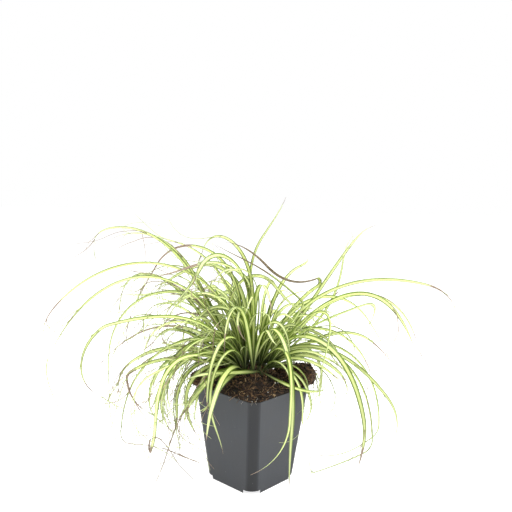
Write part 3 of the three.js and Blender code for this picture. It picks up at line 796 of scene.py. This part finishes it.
def add_leaf(shape, shoot, leaf, looks):
    """A thin keeled blade on the leaf's route; returns its route."""
    steps = max(LEAST_LEAF_STEPS, round(leaf["long"] / LEAF_STEP))
    route = leaf_route(shoot, leaf, steps)
    sides, ups = leaf_faces(route, leaf)
    share = np.linspace(0, 1, steps + 1)
    half, thick = leaf_shape(leaf, share)
    dry_from, dry_to = looks["dried"]
    dry = clamp((share - dry_from) / DRY_FADE) * clamp((dry_to - share) / DRY_FADE + 1)
    shrink = NAMED_DRY_SHRINK if leaf["dried"] else DRY_SHRINK
    half = np.maximum(half * (1 - shrink * dry), TIP_WIDTH)
    thick = np.maximum(thick, TIP_DEPTH)
    rings = []
    for across, layer in LEAF_SECTION:
        height = thick * (2 * abs(across) ** KEEL_POWER - 1) * FORM_SHARE
        height = height - layer * np.minimum(LEAF_THICKNESS, thick)
        rings.append(route + sides * (across * half * FORM_SHARE)[:, None] + ups * height[:, None])
    points = np.stack(rings, 1).reshape(-1, 3)
    count = len(LEAF_SECTION)
    shape.add(
        points, loft_faces(steps + 1, count),
        across=np.tile([across for across, _ in LEAF_SECTION], steps + 1),
        along=np.repeat(share * leaf["long"] / ALONG_SCALE, count),
        tone=looks["tone"], stripe=looks["stripe"], dry=np.repeat(dry, count),
        base=np.repeat(clamp(share * leaf["long"] / BASE_REACH), count),
        end=np.repeat(clamp((share - PALE_FROM) / (1 - PALE_FROM)), count),
    )
    return route


def add_thread(shape, route, long, draw):
    """A withered thread that parts from a leaf at the end of a route, and stays inside the frame."""
    way = route[-1] - route[-3]
    way /= np.linalg.norm(way)
    bend = np.array([draw() - 0.5, draw() - 0.5, draw() - 0.5]) * THREAD_BEND
    points = [route[-1]]
    for _ in range(round(long / THREAD_STEP)):
        bend += np.array([draw() - 0.5, draw() - 0.5, draw() - 0.5]) * THREAD_WANDER
        way = way + bend - [0, 0, THREAD_DROOP]
        way /= np.linalg.norm(way)
        point = points[-1] + way * THREAD_STEP
        is_out = (point < thread_room[0]).any() or (point > thread_room[1]).any()
        if is_out or clearance(point[None])[0] < THREAD_CLEAR:
            break
        points.append(point)
    if len(points) < THREAD_LEAST_POINTS:
        return
    thin = mix(*THREAD_RADII, draw()) * np.linspace(1, THREAD_END, len(points))
    is_green = draw() < THREAD_GREEN
    shape.add(
        tube(np.array(points), thin, THREAD_SIDES), loft_faces(len(points), THREAD_SIDES),
        across=THREAD_ACROSS, along=0, tone=draw(), stripe=0, dry=float(not is_green), base=1, end=1,
    )


def add_stem(shape, shoot, draw):
    """The sheathed foot of a shoot, with its ribs, from down in its hole to its rounded top."""
    heights = np.array(STEM_HEIGHTS)
    turns = 2 * pi * np.arange(STEM_SIDES) / STEM_SIDES
    rib = 1 - STEM_RIB * (1 + np.cos(turns * STEM_RIBS)) / 2
    rings = []
    for low, wide in zip(heights[:, 0], heights[:, 1]):
        radius = SHOOT_RADIUS * wide * rib
        rings.append(np.stack([shoot["x"] + radius * np.cos(turns), shoot["y"] + radius * np.sin(turns),
                               np.full(STEM_SIDES, shoot["ground"] + low)], 1))
    # A base value of 0 gives the stem mostly the painted shade of the leaves' foot.
    shape.add(
        np.concatenate(rings), loft_faces(len(heights), STEM_SIDES),
        across=np.tile(np.cos(turns * STEM_RIBS), len(heights)),
        along=np.repeat(heights[:, 0] / ALONG_SCALE, STEM_SIDES),
        tone=draw(), stripe=STEM_STRIPE, dry=0, base=0, end=0,
    )


def leaf_looks(leaf, draw):
    """What a leaf's colours follow: its tone, the width of its stripe and where it has dried."""
    tone, stripe, tip, whole, least = (draw() for _ in range(5))
    dried = leaf["dried"]
    is_front = cos(radians(leaf["turn"] - PARTING_TURN)) > FRONT_LEAST
    if dried is None and whole < DRY_LEAF_CHANCE and not is_front:
        dried = (DRY_LEAF_START[0] + DRY_LEAF_START[1] * least, 1)
    if dried is None and tip < DRY_TIP_CHANCE:
        dried = (DRY_TIP_START[0] + DRY_TIP_START[1] * least, 1)
    return {"tone": tone, "stripe": stripe, "dried": dried or NOT_DRY}


def most_threads(tip):
    """The most threads of a leaf that ends at a point: none near the pot, and more at the left."""
    if abs(tip[0]) < THREAD_REACH:
        return 0
    return THREADS_LEFT if tip[0] < 0 else THREADS_RIGHT


def make_shoot(number, shoot, material):
    draw = random_source(LOOKS_SEED + number)
    shape = Shape()
    add_stem(shape, shoot, draw)
    for leaf in shoot["leaves"]:
        route = add_leaf(shape, shoot, leaf, leaf_looks(leaf, draw))
        for _ in range(most_threads(route[-1])):
            if draw() < THREAD_CHANCE:
                start = ceil(len(route) * mix(THREAD_FROM, 1, draw() ** THREAD_FROM_POWER))
                add_thread(shape, route[:start], mix(*THREAD_LENGTHS, draw()), draw)
    name = f"shoot_{number + 1:02d}"
    piece = show("fine_" + name, make_mesh(name, shape))
    place(piece, material, name, "leaf")


# ---- the potting mix ----


def outline(half):
    """The pot's square outline with a bulged strip across each corner."""
    points = []
    for corner in range(4):
        turn = corner * pi / 2
        for step in range(CORNER_STEPS + 1):
            along = 2 * step / CORNER_STEPS - 1
            x, y = chord_out(half) + CORNER_BULGE * (1 - along * along), along * CORNER_WIDTH / 2
            points.append((x * cos(turn) - y * sin(turn), x * sin(turn) + y * cos(turn)))
    return np.array(points)


def mix_outline(z):
    """The inside of the pot at a height, with extra points along its flats."""
    points = outline(pot_half(z) - WALL - SEAT_GAP)
    dense = []
    for i, point in enumerate(points):
        after = points[(i + 1) % len(points)]
        steps = MIX_FLAT_STEPS if i % (CORNER_STEPS + 1) == CORNER_STEPS else 1
        dense.extend(point + (after - point) * step / steps for step in range(steps))
    return np.array(dense)


def rough(x, y, z, size):
    """Uneven values about 0, in patches of a size."""
    return noise.fractal(Vector((x, y, z)) / size, *UNEVENNESS)


def tones(points, middle, swing, size):
    """Uneven tones from 0 to 1 over points of the mix."""
    return clamp(np.array([middle + swing * rough(*point, size) for point in points]))


def ball(subdivisions, radius):
    """The points and faces of a ball of triangles."""
    grid = bmesh.new()
    bmesh.ops.create_icosphere(grid, subdivisions=subdivisions, radius=radius)
    points = [vert.co.copy() for vert in grid.verts]
    faces = [tuple(vert.index for vert in face.verts) for face in grid.faces]
    grid.free()
    return points, faces


def ground_height(x, y):
    """The top of the mix with its lumps, level at the pot's wall."""
    inside = float(clamp((1 - towards_flat(x, y) / (RIM_SIDE / 2)) * GROUND_EDGE_SLOPE))
    lumps = GROUND_LUMPS * rough(x, y, 0, GROUND_LUMP_SIZE)
    grain = GROUND_GRAIN * rough(x, y, GROUND_GRAIN_SHIFT, GROUND_GRAIN_SIZE)
    return float(mix_height(x, y)) + inside * (lumps + grain)


def add_heap(shape):
    """The mix itself, from the pot's floor to its lumpy top."""
    edge = mix_outline(MIX_EDGE)
    foot = mix_outline(FLOOR_TOP + SEAT_GAP)
    rings = [np.column_stack([foot, np.full(len(foot), FLOOR_TOP + SEAT_GAP)])]
    for ring in range(MIX_RINGS, 0, -1):
        level = edge * ring / MIX_RINGS
        heights = [ground_height(x, y) for x, y in level]
        rings.append(np.column_stack([level, heights]))
    points = np.concatenate(rings)
    shape.add(points, loft_faces(len(rings), len(edge)), tone=tones(points, *HEAP_TONE), pale=0)


def clod_point(clod, way, number):
    """The point on a clod's surface in a direction from its middle."""
    x, y, z, wide, deep, high = clod
    at = way * CLOD_ROUGH_SCALE + Vector((number * CLOD_ROUGH_SHIFT, 0, 0))
    out = 1 + CLOD_ROUGHNESS * rough(*at, CLOD_ROUGH_SIZE)
    point = Vector((x + wide * way.x * out, y + deep * way.y * out, z + high * way.z * out))
    point.z = max(point.z, POT_HEIGHT + SEAT_GAP)
    return point


def add_clod(shape, clod, number):
    ways, faces = ball(CLOD_SUBDIVISIONS, 1)
    points = [clod_point(clod, way.normalized(), number) for way in ways]
    shape.add(points, faces, tone=tones(points, *CLOD_TONE), pale=0)


def mix_spot(draw):
    """A random point on the mix or on a clod, and the way out of the surface there."""
    if draw() < CLOD_CRUMB_SHARE:
        number = min(int(draw() * len(CLODS)), len(CLODS) - 1)
        way = Vector((draw() - 0.5, draw() - 0.5, draw() - CLOD_SPOT_DOWN)).normalized()
        return clod_point(CLODS[number], way, number), way
    while True:
        x, y = (RIM_SIDE * (draw() - 0.5) * SPOT_REACH for _ in range(2))
        if towards_flat(x, y) < MIX_EDGE_FLAT and max(abs(x), abs(y)) < MIX_EDGE_CORNER:
            return Vector((x, y, ground_height(x, y))), Vector((0, 0, 1))


def add_crumb(shape, draw):
    """One crumb: a dented octahedron half sunk in the surface."""
    spot, _ = mix_spot(draw)
    size = mix(*CRUMB_SIZES, draw() ** CRUMB_SIZE_POWER)
    spin = Euler([draw() * CRUMB_SPIN for _ in range(3)]).to_matrix()
    stretch = [mix(*CRUMB_STRETCH, draw()) for _ in range(3)]
    corners = [[size * a * s * mix(*CRUMB_DENTS, draw()) for a, s in zip(corner, stretch)]
               for corner in CRUMB_CORNERS]
    points = [spot + spin @ Vector(corner) for corner in corners]
    shape.add(points, CRUMB_FACES, tone=draw() ** CRUMB_TONE_POWER, pale=0)


def add_fibre(shape, start, way, long, radius, draw, tone, pale=0):
    """A curved fibre or root that starts at a point and sets out in a direction."""
    bend = Vector([draw() - 0.5 for _ in range(3)]) * FIBRE_BEND
    points = [Vector(start)]
    for _ in range(FIBRE_STEPS):
        way = (way + bend).normalized()
        points.append(points[-1] + way * long / FIBRE_STEPS)
    route = np.array(points)
    shape.add(tube(route, radius, FIBRE_SIDES), loft_faces(len(route), FIBRE_SIDES), tone=tone, pale=pale)


def add_fibres(shape, draw):
    """Fibres that lie on the mix or stick out of it."""
    for _ in range(FIBRE_COUNT):
        spot, out = mix_spot(draw)
        turn = 2 * pi * draw()
        level = Vector((cos(turn), sin(turn), 0))
        way = (level + out * mix(*FIBRE_LIFT, draw())).normalized()
        radius = mix(*FIBRE_RADII, draw())
        long = mix(*FIBRE_LENGTHS, draw() ** FIBRE_LENGTH_POWER)
        add_fibre(shape, spot, way, long, radius, draw, mix(*FIBRE_TONES, draw()))


def add_rim_roots(shape, draw):
    """Pale hair roots that hang over the front of the rim."""
    for _ in range(ROOT_COUNT):
        across = mix(-ROOT_SPREAD, ROOT_SPREAD, draw())
        out = min(chord_out(RIM_SIDE / 2) + CORNER_BULGE, RIM_SIDE * sqrt(0.5) - abs(across))
        start = Vector((across, -out + ROOT_INSIDE, POT_HEIGHT - ROOT_BELOW))
        way = Vector((mix(-ROOT_SWING, ROOT_SWING, draw()), -1, ROOT_RISE)).normalized()
        add_fibre(shape, start, way, mix(*ROOT_LENGTHS, draw()), ROOT_RADIUS, draw, 1, ROOT_PALE)


def add_perlite(shape, draw):
    """White grains, each a dented ball part sunk in the surface."""
    for x, y, size in PERLITE:
        outs, faces = ball(PERLITE_SUBDIVISIONS, size)
        spot = Vector((x, y, ground_height(x, y) + size * PERLITE_STAND))
        points = [spot + out * mix(*PERLITE_DENTS, draw()) for out in outs]
        shape.add(points, faces, tone=1, pale=1)


def make_potting_mix(material):
    """The piece of the mix: the heap, its clods and what lies on them."""
    draw = random_source(LOOKS_SEED + MIX_SEED)
    shape = Shape()
    add_heap(shape)
    for number, clod in enumerate(CLODS):
        add_clod(shape, clod, number)
    for _ in range(CRUMB_COUNT):
        add_crumb(shape, draw)
    add_fibres(shape, draw)
    add_rim_roots(shape, draw)
    add_perlite(shape, draw)
    piece = show("fine_potting_mix", make_mesh("fine_potting_mix", shape))
    place(piece, material, "potting_mix", "mix")


# ---- the pot ----


def pot_ring(inset, z):
    points = outline(pot_half(z) - inset)
    return np.column_stack([points, np.full(len(points), z)])


def cutter(name, points, faces):
    """A closed form that is cut out of the pot or joined on to it."""
    shape = Shape()
    shape.add(points, faces)
    return show(name, make_mesh(name, shape))


def post(x, y, low, high, radius):
    turns = 2 * pi * np.arange(ROUND_SIDES) / ROUND_SIDES
    ring = np.column_stack([x + radius * np.cos(turns), y + radius * np.sin(turns)])
    points = np.concatenate([np.column_stack([ring, np.full(ROUND_SIDES, z)]) for z in (low, high)])
    return cutter("post", points, loft_faces(2, ROUND_SIDES))


def notch(turn):
    """The block that notches the foot of the pot's corner at a turn."""
    out = chord_out(pot_half(0))
    low = np.array([(sx * NOTCH_DEPTH / 2 + out, sy * NOTCH_WIDTH / 2)
                    for sx, sy in ((-1, -1), (1, -1), (1, 1), (-1, 1))])
    turned = low @ np.array([[cos(turn), sin(turn)], [-sin(turn), cos(turn)]])
    points = np.concatenate([np.column_stack([turned, np.full(4, z)]) for z in (-CUT_OVERRUN, NOTCH_HEIGHT)])
    return cutter("notch", points, loft_faces(2, 4))


def cut(piece, other, operation):
    """Cuts another mesh out of a piece, or joins it on, and drops the other."""
    change = piece.modifiers.new(operation, "BOOLEAN")
    change.operation, change.object, change.solver = operation, other, "EXACT"
    bpy.context.view_layer.update()
    changed = piece.evaluated_get(bpy.context.evaluated_depsgraph_get())
    mesh = bpy.data.meshes.new_from_object(changed)
    piece.modifiers.clear()
    piece.data = mesh
    bpy.data.objects.remove(other)


def make_pot(material):
    """The piece of the pot: its shell, with notches, drain holes and a round foot."""
    bend = [(RIM_ROUND * (1 - cos(t)), POT_HEIGHT - RIM_ROUND * (1 - sin(t)))
            for t in np.linspace(0, pi / 2, RIM_ROUND_STEPS)]
    rim = bend + [(WALL - inset, z) for inset, z in reversed(bend)]
    profile = [(WALL, FLOOR_UNDERSIDE), (WALL, 0), (0, 0), *rim, (WALL, FLOOR_TOP)]
    rings = [pot_ring(inset, z) for inset, z in profile]
    shape = Shape()
    shape.add(np.concatenate(rings), loft_faces(len(rings), len(rings[0])))
    pot = show("fine_pot", make_mesh("fine_pot", shape))
    for corner in range(4):
        turn = corner * pi / 2
        x, y = DRAIN_CIRCLE * cos(turn), DRAIN_CIRCLE * sin(turn)
        cut(pot, notch(turn), "DIFFERENCE")
        cut(pot, post(x, y, 0, FLOOR_TOP + CUT_OVERRUN, DRAIN_RADIUS), "DIFFERENCE")
    cut(pot, post(0, 0, 0, (FLOOR_UNDERSIDE + FLOOR_TOP) / 2, FOOT_RADIUS), "UNION")
    pot.data.shade_smooth()
    pot.data.set_sharp_from_angle(angle=radians(SHARP_ANGLE))
    place(pot, material, "pot", "pot_plastic")


# ---- materials ----


def linear(colour):
    """A hex sRGB colour as linear red, green, blue and alpha, by the sRGB rule."""
    parts = [int(colour[i:i + 2], 16) / 255 for i in (0, 2, 4)]
    return (*(p / 12.92 if p <= 0.04045 else ((p + 0.055) / 1.055) ** 2.4 for p in parts), 1)


class Nodes:
    """Short ways to build a material's nodes."""

    def __init__(self, name):
        self.material = bpy.data.materials.new(name)
        self.material.use_nodes = True
        self.tree = self.material.node_tree
        self.shader = self.tree.nodes["Principled BSDF"]

    def add(self, kind, inputs=None, **settings):
        node = self.tree.nodes.new("ShaderNode" + kind)
        for name, value in settings.items():
            setattr(node, name, value)
        for name, value in (inputs or {}).items():
            self.set(node.inputs[name], value)
        return node

    def set(self, socket, value):
        """Links another node's output to a socket, or gives the socket a value."""
        if isinstance(value, bpy.types.NodeSocket):
            self.tree.links.new(value, socket)
        else:
            socket.default_value = value

    def value(self, name):
        return self.add("Attribute", attribute_name=name).outputs["Fac"]

    def math(self, operation, *values):
        node = self.add("Math", operation=operation)
        for socket, value in zip(node.inputs, values):
            self.set(socket, value)
        return node.outputs[0]

    def ramp(self, value, low, high, start=0.0, end=1.0):
        """A smooth rise from start to end while the value goes from low to high."""
        node = self.add("MapRange", interpolation_type="SMOOTHSTEP")
        for name, given in (("Value", value), ("From Min", low), ("From Max", high),
                            ("To Min", start), ("To Max", end)):
            self.set(node.inputs[name], given)
        return node.outputs["Result"]

    def swing(self, value, size):
        """A value from 0 to 1, made to swing about 0 over a size."""
        return self.math("MULTIPLY_ADD", value, size, -size / 2)

    def blend(self, share, first, second):
        """From the first colour to the second by a share; a colour may be hex or another node's."""
        node = self.add("Mix", data_type="RGBA")
        self.set(node.inputs["Factor"], share)
        for socket, colour in ((node.inputs[6], first), (node.inputs[7], second)):
            self.set(socket, linear(colour) if isinstance(colour, str) else colour)
        return node.outputs[2]

    def noise(self, place, scale=1.0, detail=NOISE_DETAIL):
        node = self.add("TexNoise", {"Vector": place, "Scale": scale, "Detail": detail})
        return node.outputs["Fac"]

    def place(self, x, y, z):
        return self.add("CombineXYZ", {"X": x, "Y": y, "Z": z}).outputs[0]

    def here(self):
        return self.add("TexCoord").outputs["Object"]

    def bump(self, height, strength, distance):
        node = self.add("Bump", {"Height": height, "Strength": strength, "Distance": distance})
        self.set(self.shader.inputs["Normal"], node.outputs[0])

    def finish(self, colour, roughness, **settings):
        self.set(self.shader.inputs["Base Color"], colour)
        self.set(self.shader.inputs["Roughness"], roughness)
        for name, value in settings.items():
            self.set(self.shader.inputs[name.replace("_", " ")], value)
        return self.material


def leaf_material():
    """Cream stripe, green margins with fine veins, a foot darkened by painted shade and dried brown
    stretches.
    """
    n = Nodes("leaf")
    across, along, tone = n.value("across"), n.value("along"), n.value("tone")
    stripe, dry, base = n.value("stripe"), n.value("dry"), n.value("base")
    spread = n.math("MULTIPLY", tone, TONE_SPREAD)
    veins_across = n.math("MULTIPLY", across, VEINS_ACROSS)
    veins = n.noise(n.place(veins_across, n.math("MULTIPLY", along, VEINS_ALONG), spread))
    patches = n.noise(n.place(across, n.math("MULTIPLY", along, PATCHES_ALONG), spread))
    edge = n.math("ADD", n.math("MULTIPLY", stripe, STRIPE_SWING), STRIPE_LEAST)
    out = n.math("ADD", n.math("ABSOLUTE", across), n.swing(veins, STRIPE_WAVER))
    margin = n.ramp(out, n.math("SUBTRACT", edge, STRIPE_INNER), n.math("ADD", edge, STRIPE_OUTER))
    cream = n.blend(tone, CREAM[0], CREAM[1])
    green = n.blend(tone, GREEN[0], GREEN[1])
    green = n.blend(n.ramp(veins, *GREEN_VEINS), green, GREEN[2])
    cream = n.blend(n.ramp(veins, *CREAM_VEINS), cream, CREAM[2])
    blade = n.blend(margin, cream, green)
    blade = n.blend(n.math("MULTIPLY", n.value("end"), PALE_SHARE), blade, PALE_END)
    # Painted shade: the blade darkens towards its foot, where the crown shades it.
    blade = n.blend(n.ramp(base, *FOOT_SHADE_FADE), FOOT_PAINTED_SHADE, blade)
    brown = n.blend(n.ramp(patches, *DRY_PATCHES), DRY[0], DRY[1])
    brown = n.blend(n.ramp(veins, *DRY_VEINS), brown, DRY[2])
    is_dry = n.ramp(n.math("ADD", dry, n.swing(patches, DRY_WAVER)), *DRY_EDGE)
    colour = n.blend(is_dry, blade, brown)
    n.bump(veins, *LEAF_BUMP)
    return n.finish(colour, n.ramp(is_dry, *LEAF_ROUGHNESS))


def mix_material():
    """Dark peat with brown and straw-coloured crumbs, and white perlite."""
    n = Nodes("potting_mix")
    tone, pale = n.value("tone"), n.value("pale")
    here = n.here()
    grain = n.noise(here, GRAIN_SCALE)
    lumps = n.noise(here, LUMP_SCALE)
    level = n.math("ADD", tone, n.swing(grain, GRAIN_SWING))
    level = n.math("ADD", level, n.swing(lumps, LUMP_SWING))
    colour = PEAT[0]
    for ramp, lighter in zip(PEAT_RAMPS, PEAT[1:]):
        colour = n.blend(n.ramp(level, *ramp), colour, lighter)
    colour = n.blend(pale, colour, PERLITE_COLOUR)
    n.bump(grain, *MIX_BUMP)
    return n.finish(colour, MIX_ROUGHNESS)


def pot_material():
    """Satin slate-grey plastic with faint streaks and dust, and painted shade on its corner strips."""
    n = Nodes("pot_plastic")
    here = n.here()
    split = n.add("SeparateXYZ", {"Vector": here})
    x, y, z = (split.outputs[i] for i in range(3))
    streaks = n.noise(n.place(n.math("MULTIPLY", x, STREAKS_ACROSS), n.math("MULTIPLY", y, STREAKS_ACROSS),
                              n.math("MULTIPLY", z, STREAKS_ALONG)))
    clouds = n.noise(here, CLOUD_SCALE)
    specks = n.noise(here, SPECK_SCALE, SPECK_DETAIL)
    colour = n.blend(n.ramp(clouds, *CLOUD_RAMP), POT[0], POT[1])
    colour = n.blend(n.ramp(streaks, *STREAK_RAMP), colour, POT[2])
    # Painted shade: the corner strips are darkened as if they caught less light than the walls.
    strip = n.math("MAXIMUM", n.math("ABSOLUTE", x), n.math("ABSOLUTE", y))
    other = n.math("MINIMUM", n.math("ABSOLUTE", x), n.math("ABSOLUTE", y))
    in_strip = n.ramp(other, STRIP_CORE * CORNER_WIDTH * MM, STRIP_REACH * CORNER_WIDTH * MM, 1.0, 0.0)
    corner_painted_shade = n.math("MULTIPLY", in_strip, n.math("GREATER_THAN", strip, CORNER_FROM * MM))
    colour = n.blend(n.math("MULTIPLY", corner_painted_shade, STRIP_PAINTED_SHADE), colour, POT[3])
    colour = n.blend(n.ramp(specks, *SPECK_RAMP), colour, DUST)
    n.bump(specks, *POT_BUMP)
    roughness = n.ramp(n.math("ADD", clouds, n.math("MULTIPLY", streaks, STREAK_ROUGHNESS)), *POT_ROUGHNESS)
    return n.finish(colour, roughness, Specular_IOR_Level=POT_SPECULAR)


# ---- floor, light and camera ----


def make_floor():
    shape = Shape()
    reach = FLOOR_REACH
    corners = [(-reach, -reach, 0), (reach, -reach, 0), (reach, reach, 0), (-reach, reach, 0)]
    shape.add(corners, [(0, 1, 2, 3)])
    floor = show("floor", make_mesh("floor", shape, smooth=False))
    n = Nodes("floor")
    tint = n.noise(n.here(), FLOOR_TINT_SCALE)
    glow = {"Emission_Color": WHITE, "Emission_Strength": FLOOR_GLOW}
    floor.data.materials.append(n.finish(n.blend(tint, *FLOOR_TINTS), FLOOR_ROUGHNESS, **glow))


def make_light(name, place_mm, aim_mm, size, watts):
    data = bpy.data.lights.new(name, "AREA")
    data.shape, data.size, data.energy = "DISK", size * MM, watts
    lamp = bpy.data.objects.new(name, data)
    lamp.location = Vector(place_mm) * MM
    lamp.rotation_euler = (Vector(aim_mm) - Vector(place_mm)).to_track_quat("-Z", "Y").to_euler()
    bpy.context.scene.collection.objects.link(lamp)


def make_world():
    """An even white backdrop that lights the scene less than it shows."""
    world = bpy.data.worlds.new("studio")
    world.use_nodes = True
    tree = world.node_tree
    light = tree.nodes["Background"]
    light.inputs["Color"].default_value = WHITE
    light.inputs["Strength"].default_value = WORLD_LIGHT
    shown = tree.nodes.new("ShaderNodeBackground")
    shown.inputs["Color"].default_value = WHITE
    either = tree.nodes.new("ShaderNodeMixShader")
    tree.links.new(tree.nodes.new("ShaderNodeLightPath").outputs["Is Camera Ray"], either.inputs[0])
    tree.links.new(light.outputs[0], either.inputs[1])
    tree.links.new(shown.outputs[0], either.inputs[2])
    tree.links.new(either.outputs[0], tree.nodes["World Output"].inputs["Surface"])
    bpy.context.scene.world = world
    bpy.context.scene.view_settings.view_transform = "Standard"


def make_camera():
    data = bpy.data.cameras.new("camera")
    data.sensor_width = SENSOR
    data.lens = SENSOR * FOCAL_PIXELS / IMAGE_PIXELS
    turn = Matrix.Rotation(-radians(CAMERA_YAW), 4, "Z")
    place_at = Matrix.Translation(Vector(CAMERA_PLACE) * MM)
    tilt = Matrix.Rotation(radians(90 - CAMERA_PITCH), 4, "X")
    roll = Matrix.Rotation(radians(CAMERA_ROLL), 4, "Z")
    camera = bpy.data.objects.new("camera", data)
    camera.matrix_world = turn @ place_at @ tilt @ roll
    bpy.context.scene.collection.objects.link(camera)
    bpy.context.scene.camera = camera


# ---- the plant in its pot ----

make_camera()
make_world()
make_floor()
for lamp in LAMPS:
    make_light(*lamp)

thread_room = np.array([list(corner) for corner in cad_box]) / MM
thread_room = thread_room + np.array([[THREAD_INSIDE], [-THREAD_INSIDE]])
make_pot(pot_material())
make_potting_mix(mix_material())
places = make_shoots()
grow_tuft(places)
# A place where no leaf found room has no shoot.
shoots = [spot for spot in places if spot["leaves"]]
leaf_finish = leaf_material()
for number, shoot in enumerate(shoots):
    make_shoot(number, shoot, leaf_finish)
